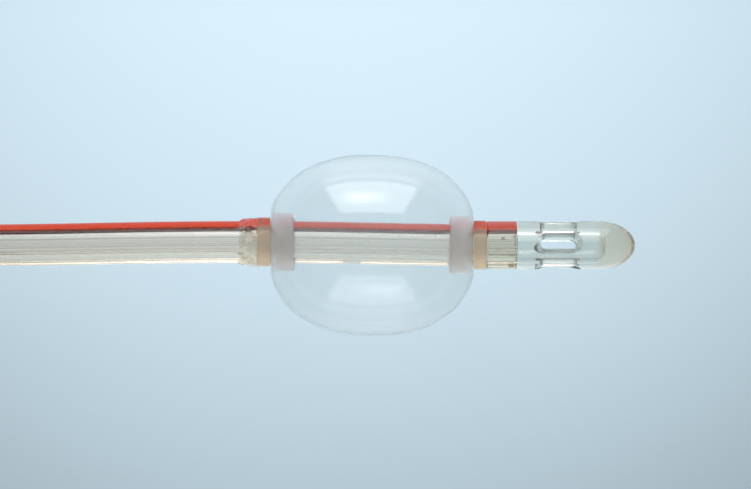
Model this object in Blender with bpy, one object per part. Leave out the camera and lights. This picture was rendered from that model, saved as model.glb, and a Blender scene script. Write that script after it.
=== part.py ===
"""Two-way urinary catheter in clear silicone, size 18 Fr, its balloon filled with air.

The eyed tip, the balloon and the first of the shaft lie along +X, with the balloon resting on
the floor at z = 0. The rest of the shaft runs back along -X, makes one turn on the floor and
ends in the Y connector, whose side arm holds the spring valve that keeps the balloon full.
"""

import math

import bmesh
import bpy
from mathutils import Matrix, Vector

MM = 0.001

# Shaft: one extrusion with a ribbed outside and two lumens
SHAFT_D = 6.0 * MM
RIB_COUNT = 32
RIB_HEIGHT = 0.08 * MM
DRAIN_D = 3.0 * MM
INFLATION_D = 0.9 * MM
INFLATION_WALL = 0.4 * MM
SEPTUM = 0.4 * MM
INFLATION_EYE_L = 2.5 * MM
INFLATION_EYE_W = 0.9 * MM
INFLATION_EYE_X = -2.9 * MM
PLUG_L = 0.8 * MM
PLUG_INSET = 0.3 * MM

# Contrast stripe along the shaft, turned from +Y toward +Z
STRIPE_W = 2.8 * MM
STRIPE_DEPTH = 0.9 * MM
STRIPE_TURN = math.radians(10)

# Slight sideways bow of the shaft, highest near the proximal cuff
BOW_HEIGHT = 0.475 * MM
BOW_PEAK_X = -18.0 * MM
BOW_SPAN = 36.0 * MM

# Balloon, measured from its centre
BALLOON_D = 25.9 * MM
BALLOON_L = 29.0 * MM
MEMBRANE = 0.3 * MM
CUFF_WALL = 0.38 * MM
CUFF_L = 5.2 * MM
CUFF_SPACING = 22.2 * MM
CREVICE = 0.4 * MM

# Outline of the inflated skin: a full ellipse that rolls in over each cuff
SKIN_FULLNESS = 0.85
ROLL_L = 1.35 * MM
ROLL_H = 0.85 * MM

# Adhesive bead that ramps from the shaft up to the proximal cuff
BEAD_L = 2.3 * MM
BEAD_RISE = 0.5 * MM

# Tip: a moulded piece whose socket takes the end of the shaft
TIP_D = 6.9 * MM
TIP_L = 17.0 * MM
NOSE_L = 5.3 * MM
SOCKET_DEPTH = 4.0 * MM
TIP_LUMEN_D = 2.5 * MM
TIP_LUMEN_DROP = 0.14 * MM
TIP_END_WALL = 4.4 * MM
EYE_COUNT = 4
EYE_L = 6.6 * MM
EYE_W = 3.5 * MM
EYE_THROAT_L = 5.2 * MM
EYE_THROAT_W = 1.2 * MM
EYE_FLARE_H = 1.7 * MM
EYE_FROM_SHAFT = 6.0 * MM

# Free shaft: hand-picked lead and tail, with one coiled turn between them. A lead point tells how
# far it lies behind the shaft's start, how far to the side, and how much of the drop is still to
# come. A tail point tells how far it lies ahead of the connector's neck and its share of the rise.
HOSE_START_INSET = 0.8 * MM
COIL_R = 30.0 * MM
COIL_X = -99.35 * MM
COIL_HIGH_ANGLE = 38
COIL_LOW_ANGLE = 130
COIL_END_ANGLE = 340
COIL_STEP = 10
COIL_COUNT = 18
HOSE_HIGH_Z = 9.4 * MM
STUB_L = 1.2 * MM
LEAD_POINTS = (
    (0.0, 0.47, 1.0),
    (6.85, 0.45, 0.988),
    (14.85, 0.37, 0.905),
    (22.85, 0.24, 0.735),
    (31.85, 0.09, 0.495),
    (40.85, 0.0, 0.257),
    (49.85, 0.0, 0.094),
    (58.85, 0.0, 0.019),
    (66.85, 0.0, 0.0),
)
TAIL_POINTS = (
    (29.3, 0.008),
    (24.3, 0.074),
    (18.8, 0.271),
    (13.3, 0.587),
    (8.3, 0.85),
    (4.3, 0.968),
    (0.3, 1.0),
)

# Y connector, from the face of its neck to the mouth of the drainage funnel
CONNECTOR_X = -134.3 * MM
CONNECTOR_L = 58.0 * MM
NECK_D = 7.4 * MM
HUB_D = 10.4 * MM
FUNNEL_D = 12.4 * MM
RIM_D = 13.6 * MM
RIM_L = 3.2 * MM
MOUTH_BORE_D = 10.2 * MM
FUNNEL_BORE_D = 7.2 * MM
FUNNEL_DEPTH = 30.0 * MM
GRIP_COUNT = 3
GRIP_PITCH = 3.2 * MM
GRIP_HEIGHT = 0.4 * MM
GRIP_W = 1.2 * MM

# Inflation arm of the connector
ARM_FROM_NECK = 12.0 * MM
ARM_ANGLE = math.radians(28)
ARM_L = 34.0 * MM
ARM_D = 8.4 * MM
ARM_ROOT_D = 7.0 * MM
ARM_COLLAR_D = 9.8 * MM
ARM_COLLAR_L = 4.4 * MM
ARM_PASSAGE_D = 1.6 * MM
WEB_T = 2.4 * MM
BAND_L = 4.0 * MM
BAND_WALL = 0.5 * MM

# Inflation valve, from the end face of the arm
BARREL_D = 6.5 * MM
BARREL_L = 10.3 * MM
FLANGE_D = 9.4 * MM
FLANGE_T = 1.5 * MM
PORT_D = 6.6 * MM
PORT_L = 6.5 * MM
LUER_MOUTH_D = 4.27 * MM
LUER_DEPTH = 7.5 * MM
LUER_TAPER = 0.06
LUG_SPAN = 7.8 * MM
LUG_W = 2.6 * MM
LUG_L = 1.4 * MM
SEAT_T = 1.2 * MM
CHAMBER_D = 4.9 * MM
BASE_T = 1.2 * MM
BASE_SPIGOT_L = 1.1 * MM
BASE_HOLE_D = 1.4 * MM
STEM_D = 2.2 * MM
STEM_HEAD_L = 4.0 * MM
STEM_FLANGE_D = 4.2 * MM
STEM_FLANGE_T = 1.0 * MM
STEM_GUIDE_D = 1.6 * MM
STEM_GUIDE_L = 2.4 * MM
SEAL_SECTION = 0.9 * MM
SPRING_D = 2.9 * MM
SPRING_WIRE = 0.36 * MM
SPRING_TURNS = 5

# Clearances: bonded pieces, pieces face to face, and the running fit of the stem
BOND = 0.12 * MM
FACE_GAP = 0.3 * MM
STEM_FIT = 0.25 * MM
FLOOR_GAP = 0.02 * MM

# Facets round a turned piece
FACET_COUNT = 36
SMALL_FACET_COUNT = 20
BORE_FACET_COUNT = 16
TUBE_FACET_COUNT = 12
TIP_FACET_COUNT = 36
VALVE_FACET_COUNT = 28
FINE_FACET_COUNT = 10

# Worked-out places along the catheter, from the balloon's centre
SHAFT_R = SHAFT_D / 2
CUFF_R = SHAFT_R + BOND + CUFF_WALL
CUFF_IN_X = CUFF_SPACING / 2
CUFF_OUT_X = CUFF_IN_X + CUFF_L
SHAFT_END_X = CUFF_OUT_X + FACE_GAP + SOCKET_DEPTH
SHAFT_START_X = -CUFF_OUT_X + HOSE_START_INSET
BEAD_END_X = -CUFF_OUT_X - FACE_GAP
BEAD_START_X = BEAD_END_X - BEAD_L
APEX_X = SHAFT_END_X + TIP_L
INFLATION_DROP = SHAFT_R - INFLATION_WALL - INFLATION_D / 2
DRAIN_RISE = DRAIN_D / 2 - (INFLATION_DROP - INFLATION_D / 2 - SEPTUM)
BALLOON_AXIS_Z = BALLOON_D / 2 * math.cos(math.pi / FACET_COUNT)
BALLOON_CENTRE_X = -(BEAD_START_X + APEX_X) / 2
HOSE_START_X = BALLOON_CENTRE_X + SHAFT_START_X - FACE_GAP
VALVE_POCKET_L = BARREL_L + BASE_T + 2 * FACE_GAP
HOSE_LOW_Z = SHAFT_R + FLOOR_GAP
CONNECTOR_Z = RIM_D / 2 + FLOOR_GAP


def clear_scene():
    for old in list(bpy.data.objects):
        bpy.data.objects.remove(old, do_unlink=True)


def material(name, colour, roughness, metallic=0.0, alpha=1.0):
    made = bpy.data.materials.new(name)
    made.use_nodes = True
    shader = made.node_tree.nodes["Principled BSDF"]
    shader.inputs["Base Color"].default_value = (*colour, 1.0)
    shader.inputs["Roughness"].default_value = roughness
    shader.inputs["Metallic"].default_value = metallic
    shader.inputs["Alpha"].default_value = alpha
    return made


def frame(name, location, turn=0.0, parent=None):
    """An empty that carries pieces modelled along its own +X."""
    made = bpy.data.objects.new(name, None)
    made.location = location
    made.rotation_euler = (0.0, 0.0, turn)
    made.parent = parent
    bpy.context.scene.collection.objects.link(made)
    return made


def place(name, data, parent, finish=None):
    made = bpy.data.objects.new(name, data)
    made.parent = parent
    bpy.context.scene.collection.objects.link(made)
    if finish is not None:
        data.materials.append(finish)
    return made


def mesh_from(name, bm, sharp=35):
    bmesh.ops.remove_doubles(bm, verts=bm.verts, dist=1e-7)
    bmesh.ops.recalc_face_normals(bm, faces=bm.faces)
    data = bpy.data.meshes.new(name)
    bm.to_mesh(data)
    bm.free()
    data.shade_smooth()
    data.set_sharp_from_angle(angle=math.radians(sharp))
    return data


def turned(name, profile, segments=FACET_COUNT, ring=False, half_step=False):
    """Spins (x, radius) points about X. A ring's profile closes on itself, clear of the axis."""
    bm = bmesh.new()
    verts = [bm.verts.new((x, radius, 0.0)) for x, radius in profile]
    edges = [bm.edges.new(pair) for pair in zip(verts, verts[1:])]
    if ring:
        edges.append(bm.edges.new((verts[-1], verts[0])))
    bmesh.ops.spin(
        bm,
        geom=verts + edges,
        cent=(0, 0, 0),
        axis=(1, 0, 0),
        angle=math.tau,
        steps=segments,
        use_merge=True,
    )
    if half_step:
        matrix = Matrix.Rotation(math.pi / segments, 3, "X")
        bmesh.ops.rotate(bm, cent=(0, 0, 0), matrix=matrix, verts=bm.verts)
    return mesh_from(name, bm)


def swept(name, outline, stations):
    """Carries a closed (y, z) outline through the station points, which run along X."""
    bm = bmesh.new()
    rings = []
    for centre in stations:
        rings.append([bm.verts.new((centre[0], centre[1] + y, centre[2] + z)) for y, z in outline])
    count = len(outline)
    for ring, following in zip(rings, rings[1:]):
        for i in range(count):
            j = (i + 1) % count
            bm.faces.new((ring[i], ring[j], following[j], following[i]))
    bm.faces.new(rings[0])
    bm.faces.new(list(reversed(rings[-1])))
    return mesh_from(name, bm)


def circle(radius, count, y=0.0):
    """A round outline whose centre is moved y along Y."""
    steps = (math.tau * i / count for i in range(count))
    return [(y + radius * math.cos(a), radius * math.sin(a)) for a in steps]


def cut(target, data, parent, name, operation="DIFFERENCE"):
    """Adds a Boolean with a wire-drawn tool that stays out of the render."""
    tool = place(name, data, parent)
    tool.hide_render = True
    tool.display_type = "WIRE"
    change = target.modifiers.new(name, "BOOLEAN")
    change.operation = operation
    change.solver = "EXACT"
    change.object = tool
    return tool


def bow(x):
    """Sideways place of the shaft's axis at x."""
    reach = min(abs(x - BOW_PEAK_X) / BOW_SPAN, 1.0)
    return BOW_HEIGHT * (1 + math.cos(math.pi * reach)) / 2


def bowed(start, end, count):
    step = (end - start) / (count - 1)
    xs = [start + step * i for i in range(count)]
    return [(x, bow(x), 0.0) for x in xs]


def smooth_step(t):
    t = min(max(t, 0.0), 1.0)
    return t * t * t * (10 - 15 * t + 6 * t * t)


def through(points, per_span=12):
    """A smooth curve through the points, sampled densely."""
    ends = [points[0] * 2 - points[1]] + list(points) + [points[-1] * 2 - points[-2]]
    found = []
    for a, b, c, d in zip(ends, ends[1:], ends[2:], ends[3:]):
        for i in range(per_span):
            t = i / per_span
            square = a * 2 - b * 5 + c * 4 - d
            cube = b * 3 - a - c * 3 + d
            found.append((b * 2 + (c - a) * t + square * t**2 + cube * t**3) / 2)
    found.append(points[-1])
    return found


def spaced(points, step, trim_start=0.0, trim_end=0.0):
    """Points about one step apart on the same line, with a short straight stub at each end."""
    lengths = [0.0]
    for a, b in zip(points, points[1:]):
        lengths.append(lengths[-1] + (b - a).length)
    start = trim_start
    end = lengths[-1] - trim_end
    count = round((end - start) / step)
    wanted = [start + (end - start) * i / count for i in range(count + 1)]
    wanted.insert(1, start + STUB_L)
    wanted.insert(-1, end - STUB_L)
    found = []
    at = 0
    for want in wanted:
        while at < len(lengths) - 2 and lengths[at + 1] < want:
            at += 1
        share = (want - lengths[at]) / (lengths[at + 1] - lengths[at])
        found.append(points[at].lerp(points[at + 1], share))
    return found


# The balloon end


def make_distal_shaft(parent, finish):
    """Ribbed extrusion with the drainage lumen, the inflation lumen and its eye."""
    ribs = []
    for i in range(2 * RIB_COUNT):
        angle = math.pi * i / RIB_COUNT
        radius = SHAFT_R - (RIB_HEIGHT if i % 2 else 0.0)
        ribs.append((radius * math.cos(angle), radius * math.sin(angle)))
    data = swept("distal_shaft", ribs, bowed(SHAFT_START_X, SHAFT_END_X, 8))
    shaft = place("distal_shaft", data, parent, finish)
    past = bowed(SHAFT_START_X - FACE_GAP, SHAFT_END_X + FACE_GAP, 8)
    drain = circle(DRAIN_D / 2, BORE_FACET_COUNT, DRAIN_RISE)
    cut(shaft, swept("drain_lumen", drain, past), parent, "drain_lumen")
    inflation = circle(INFLATION_D / 2, FINE_FACET_COUNT, -INFLATION_DROP)
    cut(shaft, swept("inflation_lumen", inflation, past), parent, "inflation_lumen")
    half = INFLATION_EYE_W / 2
    eye_y = bow(INFLATION_EYE_X)
    below = -SHAFT_R * 1.2
    box = [(below, -half), (-INFLATION_DROP, -half), (-INFLATION_DROP, half), (below, half)]
    ends = [(INFLATION_EYE_X + side * INFLATION_EYE_L / 2, eye_y, 0.0) for side in (-1, 1)]
    cut(shaft, swept("inflation_eye", box, ends), parent, "inflation_eye")
    groove = swept("stripe_groove", stripe_outline(0.0, STRIPE_DEPTH), past)
    cut(shaft, groove, parent, "stripe_groove")
    return shaft


def stripe_outline(inset, outward):
    """Sector of a ring in the shaft's wall, drawn in by inset on the sides and the bottom."""
    low = SHAFT_R - STRIPE_DEPTH + inset
    high = SHAFT_R - RIB_HEIGHT if inset else SHAFT_R + outward
    half = (STRIPE_W / 2 - inset) / SHAFT_R
    steps = 6
    angles = [STRIPE_TURN - half + 2 * half * i / steps for i in range(steps + 1)]
    outer = [(high * math.cos(a), high * math.sin(a)) for a in angles]
    inner = [(low * math.cos(a), low * math.sin(a)) for a in reversed(angles)]
    return outer + inner


def make_stripe(parent, finish):
    stations = bowed(SHAFT_START_X, SHAFT_END_X, 8)
    data = swept("contrast_stripe", stripe_outline(BOND, 0.0), stations)
    place("contrast_stripe", data, parent, finish)


def make_inflation_plug(parent, finish):
    """Short plug that closes the inflation lumen just inside the end of the shaft."""
    end = SHAFT_END_X - PLUG_INSET
    stations = bowed(end - PLUG_L, end, 2)
    outline = circle(INFLATION_D / 2 - BOND, FINE_FACET_COUNT, -INFLATION_DROP)
    place("inflation_plug", swept("inflation_plug", outline, stations), parent, finish)


def balloon_skin():
    """Outside of the inflated membrane, from one crevice floor over the equator to the other."""
    end = BALLOON_L / 2
    top = BALLOON_D / 2
    lip = CUFF_R + CREVICE
    turn_x = CUFF_IN_X + CREVICE / 2
    half = [
        (turn_x, CUFF_R),
        (turn_x - CREVICE * 0.5, CUFF_R + CREVICE * 0.5),
        (turn_x, lip),
    ]
    for angle in (0.0, 0.7, 1.2):
        x = end - ROLL_L * (1 - math.sin(angle))
        half.append((x, lip + ROLL_H * (1 - math.cos(angle))))
    # The ellipse passes through the end of the roll, which is the balloon's full length
    first = math.asin(((lip + ROLL_H) / top) ** (1 / SKIN_FULLNESS))
    reach = end / math.cos(first) ** SKIN_FULLNESS
    steps = 8
    for i in range(steps + 1):
        angle = first + (math.pi / 2 - first) * i / steps
        x = reach * max(math.cos(angle), 0.0) ** SKIN_FULLNESS
        half.append((x, top * math.sin(angle) ** SKIN_FULLNESS))
    half[-1] = (0.0, top)
    left = [(-x, radius) for x, radius in half]
    right = list(reversed(half))[1:]
    return left + right


def offset(points, distance):
    """The same open line moved sideways by distance, to its right as it runs along +X."""
    found = []
    for i, point in enumerate(points):
        before = Vector(points[max(i - 1, 0)])
        after = Vector(points[min(i + 1, len(points) - 1)])
        along = (after - before).normalized()
        found.append((point[0] + along.y * distance, point[1] - along.x * distance))
    return found


def make_balloon(parent, finish):
    """One sleeve: a bonded cuff at each end and the membrane blown out between them."""
    bore = SHAFT_R + BOND
    skin = balloon_skin()
    inner = offset(skin, MEMBRANE)[1:-1]
    profile = [(-CUFF_OUT_X, bore), (-CUFF_OUT_X, CUFF_R)]
    profile += skin
    profile += [(CUFF_OUT_X, CUFF_R), (CUFF_OUT_X, bore), (CUFF_IN_X, bore)]
    profile += list(reversed(inner))
    profile += [(-CUFF_IN_X, bore)]
    data = turned("balloon", profile, ring=True, half_step=True)
    # The cuffs follow the bowed shaft, and the skin leans with it as one round body
    lean = (bow(-MM) - bow(MM)) / (2 * MM)
    for vertex in data.vertices:
        x, y, z = vertex.co
        free = smooth_step((math.hypot(y, z) - CUFF_R) / (BALLOON_D / 4))
        vertex.co.x += lean * y * free
        vertex.co.y += bow(x) * (1 - free) - lean * x * free
    place("balloon", data, parent, finish)


def make_proximal_bead(parent, finish):
    bore = SHAFT_R + BOND
    rise = [(0.0, 0.35), (0.35, 0.6), (0.7, 0.85), (1.0, 1.0)]
    profile = [(BEAD_START_X, bore)]
    for along, share in rise:
        profile.append((BEAD_START_X + BEAD_L * along, bore + BEAD_RISE * share))
    profile.append((BEAD_END_X, bore))
    data = turned("proximal_bead", profile, ring=True)
    for vertex in data.vertices:
        vertex.co.y += bow(vertex.co.x)
    place("proximal_bead", data, parent, finish)


def slot_outline(half_length, half_width, count=7):
    """A slot with round ends, in (x, y), as a loop of 2 x (count + 1) points."""
    reach = half_length - half_width
    loop = []
    for side, start in ((1, -math.pi / 2), (-1, math.pi / 2)):
        for i in range(count + 1):
            angle = start + math.pi * i / count
            loop.append((side * reach + half_width * math.cos(angle), half_width * math.sin(angle)))
    return loop


def eye_tool(name):
    """Slot along +Z, straight at the lumen and flared toward the tip's outside."""
    outside = TIP_D / 2
    # The rim lies highest at the ends of the eye and lowest at its sides
    rim_z = (outside + math.sqrt(outside**2 - (EYE_W / 2) ** 2)) / 2
    turn = math.pi / 4
    bend_share = (1 - math.cos(turn / 2)) / (1 - math.cos(turn))
    bend_z = rim_z - EYE_FLARE_H * (1 - math.sin(turn / 2) / math.sin(turn))
    past_z = outside * 1.15
    past_share = bend_share + (1 - bend_share) * (past_z - bend_z) / (rim_z - bend_z)
    levels = [
        (TIP_LUMEN_D / 2 * 0.45, 0.0),
        (rim_z - EYE_FLARE_H, 0.0),
        (bend_z, bend_share),
        (past_z, past_share),
    ]
    bm = bmesh.new()
    loops = []
    for height, share in levels:
        half_length = (EYE_THROAT_L + (EYE_L - EYE_THROAT_L) * share) / 2
        half_width = (EYE_THROAT_W + (EYE_W - EYE_THROAT_W) * share) / 2
        outline = slot_outline(half_length, half_width)
        loops.append([bm.verts.new((x, y, height)) for x, y in outline])
    count = len(loops[0])
    for low, high in zip(loops, loops[1:]):
        for i in range(count):
            j = (i + 1) % count
            bm.faces.new((low[i], low[j], high[j], high[i]))
    bm.faces.new(list(reversed(loops[0])))
    bm.faces.new(loops[-1])
    return mesh_from(name, bm)


def make_tip(parent, finish):
    """Closed round nose, lumen with a domed end, socket for the shaft and the drainage eyes."""
    outside = TIP_D / 2
    socket = SHAFT_R + BOND
    lumen = TIP_LUMEN_D / 2
    dome_x = APEX_X - TIP_END_WALL
    floor_x = SHAFT_END_X + FACE_GAP
    profile = [(dome_x, 0.0)]
    steps = 4
    for i in range(1, steps + 1):
        angle = math.pi / 2 * i / steps
        profile.append((dome_x - lumen * (1 - math.cos(angle)), lumen * math.sin(angle)))
    socket_x = SHAFT_END_X - SOCKET_DEPTH
    profile += [(floor_x, lumen), (floor_x, socket), (socket_x, socket)]
    profile += [(socket_x, outside - BOND), (socket_x + BOND, outside)]
    nose_x = APEX_X - NOSE_L
    steps = 9
    for i in range(steps + 1):
        angle = math.pi / 2 * i / steps
        profile.append((nose_x + NOSE_L * math.sin(angle), outside * math.cos(angle)))
    profile[-1] = (APEX_X, 0.0)
    data = turned("tip", profile, segments=TIP_FACET_COUNT)
    for vertex in data.vertices:
        if math.hypot(vertex.co.y, vertex.co.z) < lumen * 1.01 and vertex.co.x <= dome_x + BOND:
            vertex.co.y -= TIP_LUMEN_DROP
    tip = place("tip", data, parent, finish)
    for i in range(EYE_COUNT):
        tool = cut(tip, eye_tool(f"eye_{i + 1}"), parent, f"eye_{i + 1}")
        tool.location = (SHAFT_END_X + EYE_FROM_SHAFT, 0.0, 0.0)
        tool.rotation_euler = (math.tau * i / EYE_COUNT, 0.0, 0.0)


# The free shaft


def coil_point(angle):
    """A point of the turn, angle degrees after the lead meets it, heading -X at 0."""
    turn = math.radians(angle)
    sunk = smooth_step((angle - COIL_HIGH_ANGLE) / (COIL_LOW_ANGLE - COIL_HIGH_ANGLE))
    height = HOSE_HIGH_Z + (HOSE_LOW_Z - HOSE_HIGH_Z) * sunk
    return Vector((COIL_X - COIL_R * math.sin(turn), COIL_R * (math.cos(turn) - 1), height))


def tube(name, points, finish):
    data = bpy.data.curves.new(name, "CURVE")
    data.dimensions = "3D"
    data.bevel_depth = SHAFT_D / 2
    data.bevel_resolution = TUBE_FACET_COUNT // 2 - 2
    data.use_fill_caps = True
    line = data.splines.new("POLY")
    line.points.add(len(points) - 1)
    for target, point in zip(line.points, points):
        target.co = (*point, 1.0)
    place(name, data, None, finish)


def make_hose(finish):
    """Lead to where the turn lies flat, the flat turn as a turned ring, and the tail."""
    step = 2.2 * SHAFT_D
    lead = []
    for behind, side, share in LEAD_POINTS:
        height = HOSE_HIGH_Z + (BALLOON_AXIS_Z - HOSE_HIGH_Z) * share
        lead.append(Vector((HOSE_START_X - behind * MM, side * MM, height)))
    lead += [coil_point(angle) for angle in range(2 * COIL_STEP, COIL_LOW_ANGLE + 1, COIL_STEP)]
    tube("shaft_lead", spaced(through(lead), step, trim_end=FACE_GAP), finish)

    bm = bmesh.new()
    start = coil_point(COIL_LOW_ANGLE)
    centre = Vector((COIL_X, -COIL_R, start.z))
    outward = (start - centre).normalized()
    ring = []
    for i in range(TUBE_FACET_COUNT):
        angle = math.tau * i / TUBE_FACET_COUNT
        side = outward * (SHAFT_R * math.cos(angle))
        ring.append(bm.verts.new(start + side + Vector((0, 0, SHAFT_R * math.sin(angle)))))
    face = bm.faces.new(ring)
    sweep = math.radians(COIL_END_ANGLE - COIL_LOW_ANGLE)
    bmesh.ops.spin(bm, geom=[face], cent=centre, axis=(0, 0, -1), angle=-sweep, steps=COIL_COUNT)
    place("shaft_coil", mesh_from("shaft_coil", bm), None, finish)

    tail = [coil_point(angle) for angle in range(COIL_END_ANGLE, 361, COIL_STEP)]
    for ahead, share in TAIL_POINTS:
        height = HOSE_LOW_Z + (CONNECTOR_Z - HOSE_LOW_Z) * share
        tail.append(Vector((CONNECTOR_X + ahead * MM, 0.0, height)))
    tube("shaft_tail", spaced(through(tail), step, trim_start=FACE_GAP), finish)


# The connector


def make_connector(parent, finish):
    """Moulded funnel with a side arm: lathe bodies joined, then bored."""
    neck = NECK_D / 2
    hub = HUB_D / 2
    funnel = FUNNEL_D / 2
    rim = RIM_D / 2
    rim_x = CONNECTOR_L - RIM_L
    hub_x = ARM_FROM_NECK + ARM_D / 2
    crotch_x = hub_x + ARM_D
    profile = [(0.0, 0.0), (0.0, neck - BOND), (BOND, neck)]
    for share in (0.25, 0.5, 0.75):
        x = ARM_FROM_NECK * (0.2 + share * 0.8)
        profile.append((x, neck + (hub - neck) * smooth_step(share)))
    profile += [(hub_x, hub), (crotch_x, hub)]
    last_grip = rim_x - GRIP_PITCH
    for i in range(GRIP_COUNT):
        x = last_grip - GRIP_PITCH * (GRIP_COUNT - 1 - i)
        base = hub + (funnel - hub) * (x - crotch_x) / (rim_x - crotch_x)
        profile += [(x - GRIP_W / 2, base), (x - GRIP_W / 4, base + GRIP_HEIGHT)]
        profile += [(x + GRIP_W / 4, base + GRIP_HEIGHT), (x + GRIP_W / 2, base)]
    profile += [(rim_x - FACE_GAP, funnel), (rim_x + FACE_GAP, rim), (CONNECTOR_L - FACE_GAP, rim)]
    profile += [(CONNECTOR_L, rim - FACE_GAP), (CONNECTOR_L, 0.0)]
    body = place("y_connector", turned("y_connector", profile), parent, finish)

    arm_frame = frame("arm_frame", (ARM_FROM_NECK, 0.0, 0.0), ARM_ANGLE, parent)
    root = ARM_ROOT_D / 2
    arm = ARM_D / 2
    collar = ARM_COLLAR_D / 2
    collar_x = ARM_L - ARM_COLLAR_L
    arm_profile = [(0.0, 0.0), (0.0, root), (ARM_L * 0.35, root), (ARM_L * 0.6, arm)]
    arm_profile += [(collar_x - FACE_GAP, arm), (collar_x + FACE_GAP, collar), (ARM_L - FACE_GAP, collar)]
    arm_profile += [(ARM_L, collar - FACE_GAP), (ARM_L, 0.0)]
    cut(body, turned("arm_outside", arm_profile, VALVE_FACET_COUNT), arm_frame, "arm_outside", "UNION")

    web = WEB_T / 2
    reach = ARM_L * 0.5
    corners = [
        (hub_x, 0.0),
        (ARM_FROM_NECK + reach, 0.0),
        (ARM_FROM_NECK + reach * math.cos(ARM_ANGLE), reach * math.sin(ARM_ANGLE)),
    ]
    bm = bmesh.new()
    low = bm.faces.new([bm.verts.new((x, y, -web)) for x, y in corners])
    made = bmesh.ops.extrude_face_region(bm, geom=[low])["geom"]
    top = [item for item in made if isinstance(item, bmesh.types.BMVert)]
    bmesh.ops.translate(bm, verts=top, vec=(0, 0, WEB_T))
    cut(body, mesh_from("crotch_web", bm), parent, "crotch_web", "UNION")

    lumen = DRAIN_D / 2
    narrow = FUNNEL_BORE_D / 2
    mouth = MOUTH_BORE_D / 2
    step_x = CONNECTOR_L - FUNNEL_DEPTH
    cone_x = step_x - narrow
    slope = (mouth - narrow) / FUNNEL_DEPTH
    bore = [(cone_x - lumen, 0.0), (cone_x - lumen, lumen), (cone_x, lumen), (step_x, narrow)]
    bore += [(CONNECTOR_L, mouth), (CONNECTOR_L + MM, mouth + slope * MM), (CONNECTOR_L + MM, 0.0)]
    cut(body, turned("funnel_bore", bore, FACET_COUNT), parent, "funnel_bore")

    straight = [(-MM, 0.0, 0.0), (cone_x - lumen * 0.5, 0.0, 0.0)]
    drain = circle(lumen, BORE_FACET_COUNT, -DRAIN_RISE)
    cut(body, swept("connector_lumen", drain, straight), parent, "connector_lumen")
    passage = ARM_PASSAGE_D / 2
    meet = (INFLATION_DROP + passage) / math.sin(ARM_ANGLE)
    feed = [(-MM, 0.0, 0.0), (ARM_FROM_NECK + meet * math.cos(ARM_ANGLE), 0.0, 0.0)]
    inflation = circle(INFLATION_D / 2, FINE_FACET_COUNT, INFLATION_DROP)
    cut(body, swept("inflation_feed", inflation, feed), parent, "inflation_feed")

    pocket = BARREL_D / 2 + BOND
    floor_x = ARM_L - VALVE_POCKET_L
    arm_bore = [(meet, 0.0), (meet, passage), (floor_x, passage), (floor_x, pocket)]
    arm_bore += [(ARM_L + MM, pocket), (ARM_L + MM, 0.0)]
    cut(body, turned("arm_bore", arm_bore, VALVE_FACET_COUNT), arm_frame, "arm_bore")
    return arm_frame


def make_size_band(parent, finish):
    """Coloured ring that tells the size, seated against the collar of the arm."""
    inner = ARM_D / 2 + BOND
    end = ARM_L - ARM_COLLAR_L - 2 * FACE_GAP
    start = end - BAND_L
    outer = inner + BAND_WALL
    profile = [(start, inner), (start, outer - BOND), (start + BOND, outer)]
    profile += [(end - BOND, outer), (end, outer - BOND), (end, inner)]
    place("size_band", turned("size_band", profile, VALVE_FACET_COUNT, ring=True), parent, finish)


# The valve


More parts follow.
